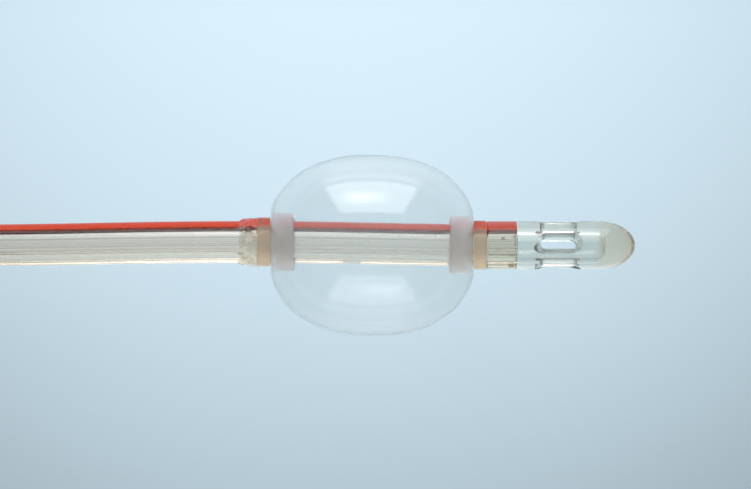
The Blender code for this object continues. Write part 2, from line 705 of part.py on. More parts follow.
def make_valve(parent, plastic, elastic, steel):
    """Pieces along the arm's axis, from the end face of the arm: outward is +X."""
    flange_x = FACE_GAP
    port_x = flange_x + FLANGE_T
    mouth_x = port_x + PORT_L
    luer_x = mouth_x - LUER_DEPTH
    seat_x = luer_x - SEAT_T
    rear_x = FACE_GAP - BARREL_L
    throat = STEM_D / 2 + STEM_FIT
    chamber = CHAMBER_D / 2
    mouth = LUER_MOUTH_D / 2
    luer_end = mouth - LUER_TAPER * LUER_DEPTH / 2
    barrel = BARREL_D / 2
    port = PORT_D / 2
    flange = FLANGE_D / 2
    profile = [(rear_x, chamber), (rear_x, barrel), (flange_x, barrel), (flange_x, flange)]
    profile += [(port_x - BOND, flange), (port_x, flange - BOND), (port_x, port), (mouth_x, port)]
    profile += [(mouth_x, mouth), (luer_x, luer_end), (luer_x, throat)]
    profile += [(seat_x, throat), (seat_x, chamber)]
    body = place("valve_body", turned("valve_body", profile, VALVE_FACET_COUNT, ring=True), parent, plastic)
    half = LUG_W / 2
    reach = LUG_SPAN / 2
    inner = (port + mouth) / 2
    for i, side in enumerate((-1, 1)):
        near = side * inner
        far = side * reach
        outline = [(near, -half), (far, -half), (far, half), (near, half)]
        ends = [(mouth_x - LUG_L, 0.0, 0.0), (mouth_x - BOND, 0.0, 0.0)]
        cut(body, swept(f"lug_{i + 1}", outline, ends), parent, f"lug_{i + 1}", "UNION")

    spigot_x = rear_x + BASE_SPIGOT_L - FACE_GAP
    face_x = rear_x - FACE_GAP
    hole = BASE_HOLE_D / 2
    base = [(face_x - BASE_T, hole), (face_x - BASE_T, barrel), (face_x, barrel), (face_x, chamber - BOND)]
    base += [(spigot_x, chamber - BOND), (spigot_x, hole)]
    place("valve_base", turned("valve_base", base, VALVE_FACET_COUNT, ring=True), parent, plastic)

    rod = STEM_D / 2
    disc = STEM_FLANGE_D / 2
    guide = STEM_GUIDE_D / 2
    section = SEAL_SECTION / 2
    seal_x = seat_x - BOND - section
    disc_x = seal_x - section - BOND
    back_x = disc_x - STEM_FLANGE_T
    guide_x = back_x - STEM_GUIDE_L
    head_x = luer_x + STEM_HEAD_L
    stem = [(guide_x, 0.0), (guide_x, guide - BOND), (guide_x + BOND, guide), (back_x, guide)]
    stem += [(back_x, disc), (disc_x, disc), (disc_x, rod), (head_x - BOND, rod)]
    stem += [(head_x, rod - BOND), (head_x, 0.0)]
    place("valve_stem", turned("valve_stem", stem, SMALL_FACET_COUNT), parent, plastic)

    middle = rod + BOND + section
    seal = []
    for i in range(FINE_FACET_COUNT):
        angle = math.tau * i / FINE_FACET_COUNT
        seal.append((seal_x + section * math.cos(angle), middle + section * math.sin(angle)))
    place("valve_seal", turned("valve_seal", seal, SMALL_FACET_COUNT, ring=True), parent, elastic)

    wire = SPRING_WIRE / 2
    start = spigot_x + BOND + wire
    end = back_x - BOND - wire
    data = bpy.data.curves.new("valve_spring", "CURVE")
    data.dimensions = "3D"
    data.bevel_depth = wire
    data.bevel_resolution = 1
    data.use_fill_caps = True
    per_turn = 12
    count = SPRING_TURNS * per_turn
    line = data.splines.new("POLY")
    line.points.add(count)
    for i, target in enumerate(line.points):
        turn = math.tau * i / per_turn
        rise = smooth_end(i / count)
        radius = SPRING_D / 2
        target.co = (start + (end - start) * rise, radius * math.cos(turn), radius * math.sin(turn), 1.0)
    place("valve_spring", data, parent, steel)


def smooth_end(t):
    """Even pitch with the first and last half turns closed down."""
    closed = 0.5 / SPRING_TURNS
    return (min(max(t, closed), 1 - closed) - closed) / (1 - 2 * closed)


def main():
    clear_scene()
    silicone = material("clear_silicone", (0.78, 0.82, 0.78), 0.12, alpha=0.45)
    tip_silicone = material("tip_silicone", (0.72, 0.80, 0.78), 0.1, alpha=0.5)
    membrane = material("balloon_silicone", (0.75, 0.84, 0.90), 0.08, alpha=0.3)
    adhesive = material("silicone_adhesive", (0.80, 0.78, 0.66), 0.3, alpha=0.6)
    red = material("radiopaque_red_silicone", (0.55, 0.08, 0.05), 0.35)
    plastic = material("valve_polypropylene", (0.86, 0.87, 0.86), 0.3)
    band = material("red_band_silicone", (0.60, 0.05, 0.04), 0.4)
    elastic = material("seal_rubber", (0.05, 0.05, 0.05), 0.5)
    steel = material("spring_steel", (0.6, 0.6, 0.6), 0.25, metallic=1.0)

    balloon_frame = frame("balloon_frame", (BALLOON_CENTRE_X, 0.0, BALLOON_AXIS_Z))
    make_distal_shaft(balloon_frame, silicone)
    make_stripe(balloon_frame, red)
    make_inflation_plug(balloon_frame, adhesive)
    make_balloon(balloon_frame, membrane)
    make_proximal_bead(balloon_frame, adhesive)
    make_tip(balloon_frame, tip_silicone)

    make_hose(silicone)

    connector_frame = frame("connector_frame", (CONNECTOR_X, 0.0, CONNECTOR_Z), math.pi)
    arm_frame = make_connector(connector_frame, silicone)
    make_size_band(arm_frame, band)
    valve_frame = frame("valve_frame", (ARM_L, 0.0, 0.0), 0.0, arm_frame)
    make_valve(valve_frame, plastic, elastic, steel)


main()
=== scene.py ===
"""Looks of a clear silicone balloon catheter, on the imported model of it.

Each operator below makes one piece or group of pieces. All sizes are in metres, in the frame of
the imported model: +X toward the tip, +Z up from the floor.
"""

import math

import bmesh
import bpy
from bpy.props import FloatProperty, FloatVectorProperty, IntProperty, PointerProperty
from mathutils import Matrix, Vector, noise


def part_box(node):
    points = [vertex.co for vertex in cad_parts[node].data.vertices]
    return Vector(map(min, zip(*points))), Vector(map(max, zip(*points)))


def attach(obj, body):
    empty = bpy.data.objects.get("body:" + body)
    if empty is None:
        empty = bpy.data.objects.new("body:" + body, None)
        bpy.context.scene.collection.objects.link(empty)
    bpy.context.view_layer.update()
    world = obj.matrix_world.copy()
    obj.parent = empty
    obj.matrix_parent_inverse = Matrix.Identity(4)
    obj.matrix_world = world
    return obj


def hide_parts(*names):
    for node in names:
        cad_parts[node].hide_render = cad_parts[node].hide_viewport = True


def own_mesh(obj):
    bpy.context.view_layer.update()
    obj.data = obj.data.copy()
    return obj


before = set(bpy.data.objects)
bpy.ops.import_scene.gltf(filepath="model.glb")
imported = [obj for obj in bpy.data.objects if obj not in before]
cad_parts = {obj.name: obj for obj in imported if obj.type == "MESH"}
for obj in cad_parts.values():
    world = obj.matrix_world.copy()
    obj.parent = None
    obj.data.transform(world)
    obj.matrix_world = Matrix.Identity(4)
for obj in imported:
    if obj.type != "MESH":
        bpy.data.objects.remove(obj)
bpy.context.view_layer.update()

bl_info = {
    "name": "Balloon catheter looks",
    "version": (1, 0, 0),
    "blender": (4, 5, 0),
    "location": "3D View > Sidebar > Catheter",
    "description": "Clear extruded shaft, blown balloon, moulded tip and valve connector",
    "category": "Add Mesh",
}

MM = 0.001

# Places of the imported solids, and the length of a cuff
BALLOON_LOW, BALLOON_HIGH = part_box("balloon")
BALLOON_X = (BALLOON_LOW.x + BALLOON_HIGH.x) / 2
AXIS_Z = (BALLOON_LOW.z + BALLOON_HIGH.z) / 2
CUFF_END = (BALLOON_HIGH.x - BALLOON_LOW.x) / 2
CUFF_LENGTH = 5.2 * MM
TIP_LOW, TIP_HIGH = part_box("tip")
SHAFT_LOW, SHAFT_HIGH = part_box("distal_shaft")
BEAD_LOW, BEAD_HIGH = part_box("proximal_bead")
CONNECTOR_LOW, CONNECTOR_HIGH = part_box("y_connector")

# The arm leaves the neck at ARM_X and turns away by ARM_TURN, and the valve sits on its end
ARM_X = 12.0 * MM
ARM_TURN = math.radians(28)
ARM_LENGTH = 34.0 * MM

# Frames of the connector, its arm and the valve, each with +X toward its open end
CONNECTOR_Z = (CONNECTOR_LOW.z + CONNECTOR_HIGH.z) / 2
NECK_FRAME = Matrix.Translation((CONNECTOR_HIGH.x, 0.0, CONNECTOR_Z)) @ Matrix.Rotation(math.pi, 4, "Z")
ARM_FRAME = NECK_FRAME @ Matrix.Translation((ARM_X, 0.0, 0.0)) @ Matrix.Rotation(ARM_TURN, 4, "Z")
VALVE_FRAME = ARM_FRAME @ Matrix.Translation((ARM_LENGTH, 0.0, 0.0))

# Sideways bow of the shaft, as the solids have it
BOW_HEIGHT = 0.475 * MM
BOW_PEAK = -18.0 * MM
BOW_SPAN = 36.0 * MM

# Route of the free shaft: the lead and the tail listed, the turn between them by a loop
LEAD_POINTS = (
    (-25.15, 0.47, 12.9007),
    (-32.0, 0.45, 12.8587),
    (-40.0, 0.37, 12.5681),
    (-48.0, 0.24, 11.9730),
    (-57.0, 0.09, 11.1328),
    (-66.0, 0.0, 10.2997),
    (-75.0, 0.0, 9.7291),
    (-84.0, 0.0, 9.4665),
    (-92.0, 0.0, 9.4),
)
TAIL_POINTS = (
    (-105.0, 0.0, 3.0504),
    (-110.0, 0.0, 3.3012),
    (-115.5, 0.0, 4.0498),
    (-121.0, 0.0, 5.2506),
    (-126.0, 0.0, 6.25),
    (-130.0, 0.0, 6.6984),
    (-134.0, 0.0, 6.82),
)
COIL_R = 30.0 * MM
COIL_X = -99.35 * MM
COIL_LOW_Z = 3.02 * MM
COIL_HIGH_Z = 9.4 * MM
# Degrees of the turn between which it sinks from the high level to the low one
COIL_SINK = (38, 130)

# The photograph's frame, in its own pixels, and the size of one of them at the shaft
FRAME_W = 751
FRAME_H = 489
PIXEL = 0.143 * MM
BALLOON_PX = (372.0, 245.2)
CAMERA_DISTANCE = 298.0 * MM
SENSOR = 36.0

# Cured silicone rubber bends light by this index, and a punched face of it is this rough
SILICONE_IOR = 1.41
CUT_ROUGHNESS = 0.34


def linear(code):
    """Linear colour of an sRGB hex code."""
    parts = [int(code[i : i + 2], 16) / 255 for i in (1, 3, 5)]
    made = [c / 12.92 if c <= 0.04045 else ((c + 0.055) / 1.055) ** 2.4 for c in parts]
    return (*made, 1.0)


class ShaftSizes(bpy.types.PropertyGroup):
    """Section of the extruded shaft."""

    diameter: FloatProperty(
        name="Diameter", description="Outside of the shaft, over its ribs", default=6.0 * MM, unit="LENGTH"
    )
    ribs: IntProperty(name="Ribs", description="Fine ribs round the outside", default=32, min=8)
    rib_height: FloatProperty(
        name="Rib height", description="Depth of the grooves between ribs", default=0.045 * MM, unit="LENGTH"
    )
    drain: FloatProperty(
        name="Drainage lumen", description="Bore of the drainage lumen", default=3.0 * MM, unit="LENGTH"
    )
    drain_rise: FloatProperty(
        name="Drainage rise", description="Its shift toward the stripe", default=0.2 * MM, unit="LENGTH"
    )
    inflation: FloatProperty(
        name="Inflation lumen", description="Bore of the inflation lumen", default=0.9 * MM, unit="LENGTH"
    )
    inflation_drop: FloatProperty(
        name="Inflation drop", description="Its distance from the axis", default=2.15 * MM, unit="LENGTH"
    )
    stripe_width: FloatProperty(
        name="Stripe width", description="Width round the shaft", default=2.8 * MM, unit="LENGTH"
    )
    stripe_depth: FloatProperty(
        name="Stripe depth", description="Thickness in the wall", default=1.05 * MM, unit="LENGTH"
    )
    stripe_turn: FloatProperty(
        name="Stripe turn", description="Turn from +Y toward +Z", default=math.radians(17), unit="ROTATION"
    )


class BalloonSizes(bpy.types.PropertyGroup):
    """Form of the inflated balloon."""

    diameter: FloatProperty(
        name="Diameter", description="Widest part of the balloon", default=25.86 * MM, unit="LENGTH"
    )
    length: FloatProperty(name="Length", description="Over both lips", default=29.0 * MM, unit="LENGTH")
    membrane: FloatProperty(
        name="Membrane", description="Wall of the blown part", default=0.22 * MM, unit="LENGTH"
    )
    fullness: FloatProperty(
        name="Fullness", description="Power of the outline: 1 is an ellipse, less is fuller", default=0.85
    )
    roll_length: FloatProperty(
        name="Roll length", description="How far it rolls in at each cuff", default=1.35 * MM, unit="LENGTH"
    )
    roll_height: FloatProperty(
        name="Roll height", description="Height of that roll", default=0.85 * MM, unit="LENGTH"
    )
    cuff_diameter: FloatProperty(
        name="Cuff diameter", description="Outside of the bonded cuffs", default=7.0 * MM, unit="LENGTH"
    )
    cuff_spacing: FloatProperty(
        name="Cuff spacing", description="Between the cuffs' inner ends", default=22.6 * MM, unit="LENGTH"
    )


class ConnectorSizes(bpy.types.PropertyGroup):
    """Funnel, side arm and valve."""

    length: FloatProperty(name="Length", description="Neck to funnel mouth", default=58.0 * MM, unit="LENGTH")
    neck: FloatProperty(name="Neck", description="Outside at the shaft", default=7.4 * MM, unit="LENGTH")
    hub: FloatProperty(name="Hub", description="Outside at the arm", default=10.4 * MM, unit="LENGTH")
    funnel: FloatProperty(name="Funnel", description="Just behind the rim", default=12.4 * MM, unit="LENGTH")
    rim: FloatProperty(name="Rim", description="Outside of the rim", default=13.6 * MM, unit="LENGTH")
    grips: IntProperty(name="Grips", description="Raised rings behind the rim", default=3, min=0)
    arm_length: FloatProperty(name="Arm", description="Length of the arm", default=ARM_LENGTH, unit="LENGTH")
    arm: FloatProperty(name="Arm diameter", description="Outside of the arm", default=8.4 * MM, unit="LENGTH")
    spring_turns: IntProperty(name="Spring turns", description="Turns of the spring", default=5, min=3)
    spring_wire: FloatProperty(
        name="Spring wire", description="Thickness of the spring's wire", default=0.36 * MM, unit="LENGTH"
    )


class Finishes(bpy.types.PropertyGroup):
    """Colours of the pieces."""

    shaft: FloatVectorProperty(
        name="Shaft", description="Clear silicone", subtype="COLOR", size=4, default=linear("#FFF7F2")
    )
    stripe: FloatVectorProperty(
        name="Stripe", description="Red stripe", subtype="COLOR", size=4, default=linear("#B93F28")
    )
    band: FloatVectorProperty(
        name="Band", description="Ring of the size", subtype="COLOR", size=4, default=linear("#C8281E")
    )
    backdrop: FloatVectorProperty(
        name="Backdrop", description="Pale floor", subtype="COLOR", size=4, default=linear("#DAF2FF")
    )


def node(tree, kind, sockets=None, **fields):
    """Adds a node, sets its fields, and gives each socket a value, or a link from a node or an output."""
    made = tree.nodes.new(kind)
    for key, value in fields.items():
        setattr(made, key, value)
    for key, value in (sockets or {}).items():
        if isinstance(value, bpy.types.Node):
            value = value.outputs[0]
        if isinstance(value, bpy.types.NodeSocket):
            tree.links.new(value, made.inputs[key])
        else:
            made.inputs[key].default_value = value
    return made


def maths(tree, operation, *values):
    """Adds a maths node of one, two or three values, each a number, a node or an output."""
    return node(tree, "ShaderNodeMath", dict(enumerate(values)), operation=operation)


def carried(tree, name):
    """The number that the mesh carries under the name."""
    return node(tree, "ShaderNodeAttribute", attribute_name=name).outputs["Fac"]


def new_material(name):
    """An empty node material and its tree."""
    made = bpy.data.materials.new(name)
    made.use_nodes = True
    made.node_tree.nodes.clear()
    return made, made.node_tree


def clear_silicone(
    name, base, roughness, tint, density, milk, cloud, field=None, grain=None, streak_shade=None
):
    """Cured silicone rubber: bends light a little less than glass, warm where it is thick.

    tint and density colour light by the depth that it crosses. milk is the share of light that
    fine filler scatters forward, in the colour cloud, and field a function that adds nodes which
    make that share differ from place to place. grain is the scale and strength of the unevenness
    that a mould leaves. The colour of the dark streaks along the shaft is painted shade, standing
    in for the dark lines that its ribs bend into view.
    """
    made, tree = new_material(name)
    # A punch leaves its cut matt, and the cut faces, down in the eyes, are painted a little darker as shade
    cut_and_shade = carried(tree, "cut_and_shade")
    tone = node(tree, "ShaderNodeMix", {"Factor": cut_and_shade, 6: base, 7: linear("#DADFDD")}, data_type="RGBA")
    # Dark streaks along the shaft are painted shade
    if streak_shade:
        painted_streak = carried(tree, "painted_streak")
        groove = node(tree, "ShaderNodeMapRange", {"Value": painted_streak, "From Min": -0.02, "From Max": -0.14})
        sockets = {"Factor": groove, 6: tone.outputs[2], 7: linear(streak_shade)}
        tone = node(tree, "ShaderNodeMix", sockets, data_type="RGBA")
    dull = node(tree, "ShaderNodeMapRange", {"Value": cut_and_shade, "To Min": roughness, "To Max": CUT_ROUGHNESS})
    # Light passes a bonded face unbent, as silicone lies on both sides of it, and a flush one nearly so
    bonded = carried(tree, "bonded")
    flush = carried(tree, "flush")
    wetted = maths(tree, "ADD", bonded, flush)
    index = node(tree, "ShaderNodeMapRange", {"Value": wetted, "To Min": SILICONE_IOR, "To Max": 1.0})
    sockets = {"Base Color": tone.outputs[2], "Roughness": dull, "IOR": index, "Transmission Weight": 1.0}
    if grain:
        place = node(tree, "ShaderNodeTexCoord").outputs["Object"]
        marks = node(tree, "ShaderNodeTexNoise", {"Vector": place, "Scale": grain[0], "Detail": 3.0})
        sockets["Normal"] = node(
            tree,
            "ShaderNodeBump",
            {"Height": marks.outputs["Fac"], "Strength": grain[1], "Distance": 0.05 * MM},
        )
    shader = node(tree, "ShaderNodeBsdfPrincipled", sockets)
    cloudy = node(tree, "ShaderNodeBsdfTranslucent", {"Color": linear(cloud)})
    share = field(tree, milk) if field else milk
    surface = node(tree, "ShaderNodeMixShader", {0: share, 1: shader, 2: cloudy})
    # Lamps reach what lies inside
    shadow = node(tree, "ShaderNodeLightPath").outputs["Is Shadow Ray"]
    clear = node(tree, "ShaderNodeBsdfTransparent", {"Color": linear("#F3F3F1")})
    surface = node(tree, "ShaderNodeMixShader", {0: shadow, 1: surface, 2: clear})
    absorb = node(tree, "ShaderNodeVolumeAbsorption", {"Color": linear(tint), "Density": density})
    node(tree, "ShaderNodeOutputMaterial", {"Surface": surface, "Volume": absorb})
    return made


def crest_highlights(tree, milk):
    """Share of milk in fine pale lines along an extrusion: painted highlights, standing in for the light that
    its ribs bend into view.
    """
    painted_streak = carried(tree, "painted_streak")
    span = {"From Min": 0.05, "From Max": 0.14, "To Max": milk}
    return node(tree, "ShaderNodeMapRange", {"Value": painted_streak, **span})


def patches(tree, milk):
    """Share of milk in uneven clouds, a millimetre or so across, with none over the stripe."""
    place = node(tree, "ShaderNodeTexCoord").outputs["Object"]
    clouds = node(tree, "ShaderNodeTexNoise", {"Vector": place, "Scale": 900.0, "Detail": 2.0})
    span = {"From Min": 0.42, "From Max": 0.62, "To Min": milk * 0.15, "To Max": milk}
    share = node(tree, "ShaderNodeMapRange", {"Value": clouds.outputs["Fac"], **span})
    y = node(tree, "ShaderNodeSeparateXYZ", {0: place}).outputs["Y"]
    below = node(tree, "ShaderNodeMapRange", {"Value": y, "From Min": 2.6 * MM, "From Max": 1.8 * MM})
    return maths(tree, "MULTIPLY", share, below)


def toward_apex(tree, milk):
    """Share of milk that grows through the solid nose to the apex."""
    place = node(tree, "ShaderNodeTexCoord").outputs["Object"]
    x = node(tree, "ShaderNodeSeparateXYZ", {0: place}).outputs["X"]
    span = {"From Min": TIP_HIGH.x - 6.0 * MM, "From Max": TIP_HIGH.x, "To Max": milk}
    return node(tree, "ShaderNodeMapRange", {"Value": x, **span})


def solid_material(name, colour, roughness, metallic=0.0, specular=0.5, grain=0.0, flank_shade=None):
    """Opaque surface. Where clear silicone wets it, specular is 0, as both bend light alike.

    grain is the scale of the fine unevenness that its mould or die leaves. A stripe's sides, down
    in the wall, are painted a darker flank colour, as the shade that falls on them.
    """
    made, tree = new_material(name)
    sockets = {"Base Color": colour, "Roughness": roughness}
    sockets.update({"Metallic": metallic, "Specular IOR Level": specular})
    if flank_shade:
        # The stripe's sides down in the wall take the darker flank colour: painted shade
        in_flank_shade = carried(tree, "flank_shade")
        blend = node(tree, "ShaderNodeMix", {"Factor": in_flank_shade, 6: colour, 7: linear(flank_shade)}, data_type="RGBA")
        sockets["Base Color"] = blend.outputs[2]
    if grain:
        place = node(tree, "ShaderNodeTexCoord").outputs["Object"]
        marks = node(tree, "ShaderNodeTexNoise", {"Vector": place, "Scale": grain}).outputs["Fac"]
        sockets["Normal"] = node(
            tree, "ShaderNodeBump", {"Height": marks, "Strength": 0.3, "Distance": 0.03 * MM}
        )
    node(tree, "ShaderNodeOutputMaterial", {"Surface": node(tree, "ShaderNodeBsdfPrincipled", sockets)})
    return made


def new_object(name, data):
    """An object of the data, in the scene."""
    made = bpy.data.objects.new(name, data)
    bpy.context.scene.collection.objects.link(made)
    return made


def finished(name, mesh, material, body, slot, *replaced):
    """Makes a piece of the mesh and hands it to the frame."""
    made = new_object(name, mesh)
    mesh.materials.clear()
    mesh.materials.append(material)
    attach(made, body)
    if replaced:
        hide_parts(*replaced)
    return made


def smooth_step(t):
    """From 0 to 1 as t does, level at both ends."""
    t = min(max(t, 0.0), 1.0)
    return t * t * t * (10 - 15 * t + 6 * t * t)


def bow(x):
    """Sideways place of the shaft's axis, x from the balloon's centre."""
    reach = min(abs(x - BOW_PEAK) / BOW_SPAN, 1.0)
    return BOW_HEIGHT * (1 + math.cos(math.pi * reach)) / 2


def coil_point(angle):
    """A point of the turn, angle degrees after the lead meets it, heading -X at 0."""
    turn = math.radians(angle)
    sunk = smooth_step((angle - COIL_SINK[0]) / (COIL_SINK[1] - COIL_SINK[0]))
    height = COIL_HIGH_Z + (COIL_LOW_Z - COIL_HIGH_Z) * sunk
    return Vector((COIL_X - COIL_R * math.sin(turn), COIL_R * (math.cos(turn) - 1), height))


def through(points, per_span):
    """A smooth curve through the points."""
    ends = [points[0] * 2 - points[1]] + list(points) + [points[-1] * 2 - points[-2]]
    found = []
    for a, b, c, d in zip(ends, ends[1:], ends[2:], ends[3:]):
        for i in range(per_span):
            t = i / per_span
            square = a * 2 - b * 5 + c * 4 - d
            cube = b * 3 - a - c * 3 + d
            found.append((b * 2 + (c - a) * t + square * t**2 + cube * t**3) / 2)
    found.append(points[-1])
    return found


def free_route():
    """The free shaft's axis, from the balloon's end to the connector."""
    lead = [Vector(point) * MM for point in LEAD_POINTS]
    turn = [coil_point(angle) for angle in range(20, 361, 10)]
    tail = [Vector(point) * MM for point in TAIL_POINTS]
    return through(lead + turn + tail, 6)


def distal_route():
    """From the end of the shaft in the tip back to where the free shaft begins."""
    start = SHAFT_HIGH.x
    end = SHAFT_LOW.x - 0.15 * MM
    count = 60
    xs = [start + (end - start) * i / (count - 1) for i in range(count)]
    return [Vector((x, bow(x - BALLOON_X), AXIS_Z)) for x in xs]


def route_curve(name, points):
    """A curve object of straight pieces through the points."""
    data = bpy.data.curves.new(name, "CURVE")
    data.dimensions = "3D"
    line = data.splines.new("POLY")
    line.points.add(len(points) - 1)
    for target, point in zip(line.points, points):
        target.co = (*point, 1.0)
    return new_object(name, data)


def group_tree(name, inputs):
    """An empty Geometry Nodes group that takes a route, the named inputs and a material."""
    tree = bpy.data.node_groups.new(name, "GeometryNodeTree")
    tree.interface.new_socket("Geometry", in_out="OUTPUT", socket_type="NodeSocketGeometry")
    for label, kind in {"Geometry": "Geometry", **inputs, "Material": "Material"}.items():
        tree.interface.new_socket(label, in_out="INPUT", socket_type=f"NodeSocket{kind}")
    return tree, tree.nodes.new("NodeGroupInput").outputs, tree.nodes.new("NodeGroupOutput").inputs


def end_tree(tree, made, given, result):
    """Gives out what was made as one plain mesh in the given material."""
    plain = node(tree, "GeometryNodeRealizeInstances", {"Geometry": made})
    painted = node(tree, "GeometryNodeSetMaterial", {"Geometry": plain, "Material": given["Material"]})
    tree.links.new(painted.outputs[0], result["Geometry"])
    return tree


def extrusion_tree():
    """Sweeps the ribbed outside and the two lumens along a route, all open at the ends."""
    lengths = ("Diameter", "Rib Height", "Drain", "Drain Rise", "Inflation", "Inflation Drop")
    inputs = {"Ribs": "Int", **{label: "Float" for label in lengths}}
    tree, given, result = group_tree("ribbed_extrusion", inputs)
    route = node(tree, "GeometryNodeSetCurveNormal", {"Curve": given["Geometry"]}, mode="Z_UP")
    # Four points to a rib: crest, flank, groove and flank
    points = maths(tree, "MULTIPLY", given["Ribs"], 4.0)
    half = maths(tree, "MULTIPLY", given["Diameter"], 0.5)
    section = node(tree, "GeometryNodeCurvePrimitiveCircle", {"Resolution": points, "Radius": half})
    index = node(tree, "GeometryNodeInputIndex")
    # A noise round the section draws streaks along the shaft: dark ones of painted shade, pale ones of
    # painted highlight
    sockets = {"W": index, "Scale": 0.45, "Detail": 2.0, "Roughness": 0.7}
    drawn = node(tree, "ShaderNodeTexNoise", sockets, noise_dimensions="1D")
    # The skin is smooth and plain over the stripe, which lies toward +X of the section
    at = node(tree, "GeometryNodeInputPosition")
    toward = node(tree, "ShaderNodeVectorMath", {0: at}, operation="NORMALIZE")
    x = node(tree, "ShaderNodeSeparateXYZ", {0: toward}).outputs["X"]
    bare = node(tree, "ShaderNodeMapRange", {"Value": x, "From Min": 0.70, "From Max": 0.56})
    centred = maths(tree, "SUBTRACT", drawn, 0.5)
    painted_streak = maths(tree, "MULTIPLY", centred, bare)
    # The stripe lies flush with the skin
    flush = node(tree, "ShaderNodeMapRange", {"Value": bare, "To Min": 0.6, "To Max": 0.0})
    for name, value in (("painted_streak", painted_streak), ("flush", flush)):
        sockets = {"Geometry": section, "Name": name, "Value": value}
        section = node(tree, "GeometryNodeStoreNamedAttribute", sockets, data_type="FLOAT", domain="POINT")
    phase = maths(tree, "MULTIPLY", index, math.pi / 2)
    wave = maths(tree, "COSINE", phase)
    groove = maths(tree, "SUBTRACT", wave, 1.0)
    depth = maths(tree, "MULTIPLY", groove, given["Rib Height"])
    kept = maths(tree, "MULTIPLY", depth, bare)
    share = maths(tree, "DIVIDE", kept, given["Diameter"])
    inward = node(tree, "ShaderNodeVectorMath", {0: at, "Scale": share}, operation="SCALE")
    ribbed = node(tree, "GeometryNodeSetPosition", {"Geometry": section, "Offset": inward})
    parts = [node(tree, "GeometryNodeCurveToMesh", {"Curve": route, "Profile Curve": ribbed})]
    for bore, move, side in (("Drain", "Drain Rise", 1.0), ("Inflation", "Inflation Drop", -1.0)):
        radius = maths(tree, "MULTIPLY", given[bore], 0.5)
        hole = node(tree, "GeometryNodeCurvePrimitiveCircle", {"Resolution": 48, "Radius": radius})
        shift = maths(tree, "MULTIPLY", given[move], side)
        aside = node(tree, "ShaderNodeCombineXYZ", {"X": shift})
        moved = node(tree, "GeometryNodeTransform", {"Geometry": hole, "Translation": aside})
        wall = node(tree, "GeometryNodeCurveToMesh", {"Curve": route, "Profile Curve": moved})
        parts.append(node(tree, "GeometryNodeFlipFaces", {"Mesh": wall}))
    joined = node(tree, "GeometryNodeJoinGeometry")
    for part in parts:
        tree.links.new(part.outputs[0], joined.inputs[0])
    return end_tree(tree, joined, given, result)


def stripe_tree():
    """Sweeps a sector of a ring along a route, with closed ends."""
    inputs = {label: "Float" for label in ("Outer Radius", "Inner Radius", "Start", "Sweep")}
    tree, given, result = group_tree("contrast_stripe", inputs)
    route = node(tree, "GeometryNodeSetCurveNormal", {"Curve": given["Geometry"]}, mode="Z_UP")
    count = 48
    ring = node(tree, "GeometryNodeCurvePrimitiveCircle", {"Resolution": count})
    index = node(tree, "GeometryNodeInputIndex")
    back = maths(tree, "GREATER_THAN", index, count / 2 - 0.5)
    mirrored = maths(tree, "SUBTRACT", count - 1.0, index)
    step = node(tree, "ShaderNodeMix", {"Factor": back, 2: index, 3: mirrored})
    share = maths(tree, "DIVIDE", step, count / 2 - 1.0)
    angle = maths(tree, "MULTIPLY_ADD", share, given["Sweep"], given["Start"])
    radius = node(tree, "ShaderNodeMix", {"Factor": back, 2: given["Outer Radius"], 3: given["Inner Radius"]})
    cosine = maths(tree, "COSINE", angle)
    sine = maths(tree, "SINE", angle)
    x = maths(tree, "MULTIPLY", cosine, radius)
    y = maths(tree, "MULTIPLY", sine, radius)
    place = node(tree, "ShaderNodeCombineXYZ", {"X": x, "Y": y})
    placed = node(tree, "GeometryNodeSetPosition", {"Geometry": ring, "Position": place})
    # The sector's inner side carries the flank mask, for the shade painted on the stripe's sides
    sockets = {"Geometry": placed, "Name": "flank_shade", "Value": back}
    sector = node(tree, "GeometryNodeStoreNamedAttribute", sockets, data_type="FLOAT", domain="POINT")
    sockets = {"Curve": route, "Profile Curve": sector, "Fill Caps": True}
    return end_tree(tree, node(tree, "GeometryNodeCurveToMesh", sockets), given, result)


def by_nodes(carrier, tree, values):
    """Runs the group on the carrier with inputs by identifier, and gives the mesh it makes."""
    change = carrier.modifiers.new(tree.name, "NODES")
    change.node_group = tree
    for item in tree.interface.items_tree:
        if item.in_out == "INPUT" and item.name in values:
            change[item.identifier] = values[item.name]
    carrier.update_tag()
    graph = bpy.context.evaluated_depsgraph_get()
    mesh = bpy.data.meshes.new_from_object(carrier.evaluated_get(graph))
    bpy.data.objects.remove(carrier)
    return mesh


def smoothed(mesh, sharp):
    """The mesh shaded smooth where its faces meet below the sharp angle, in degrees."""
    mesh.shade_smooth()
    mesh.set_sharp_from_angle(angle=math.radians(sharp))
    return mesh


def mesh_from(name, bm, sharp=None):
    """A mesh of the bmesh with its faces outward, smooth where they meet below the sharp angle."""
    bmesh.ops.recalc_face_normals(bm, faces=bm.faces)
    mesh = bpy.data.meshes.new(name)
    bm.to_mesh(mesh)
    bm.free()
    return smoothed(mesh, sharp) if sharp else mesh


def close_ends(mesh):
    """Fills the open ends of an extrusion, round its lumens."""
    bm = bmesh.new()
    bm.from_mesh(mesh)
    rims = [edge for edge in bm.edges if edge.is_boundary]
    start = rims[0].verts[0].co.copy()
    # All rims of one end lie within a little over the shaft's width
    width = 6.5 * MM
    ends = ([], [])
    for edge in rims:
        ends[(edge.verts[0].co - start).length >= width].append(edge)
    for end in ends:
        bmesh.ops.triangle_fill(bm, use_beauty=True, use_dissolve=False, edges=end)
    bmesh.ops.recalc_face_normals(bm, faces=bm.faces)
    bm.to_mesh(mesh)
    bm.free()
    return smoothed(mesh, 50)


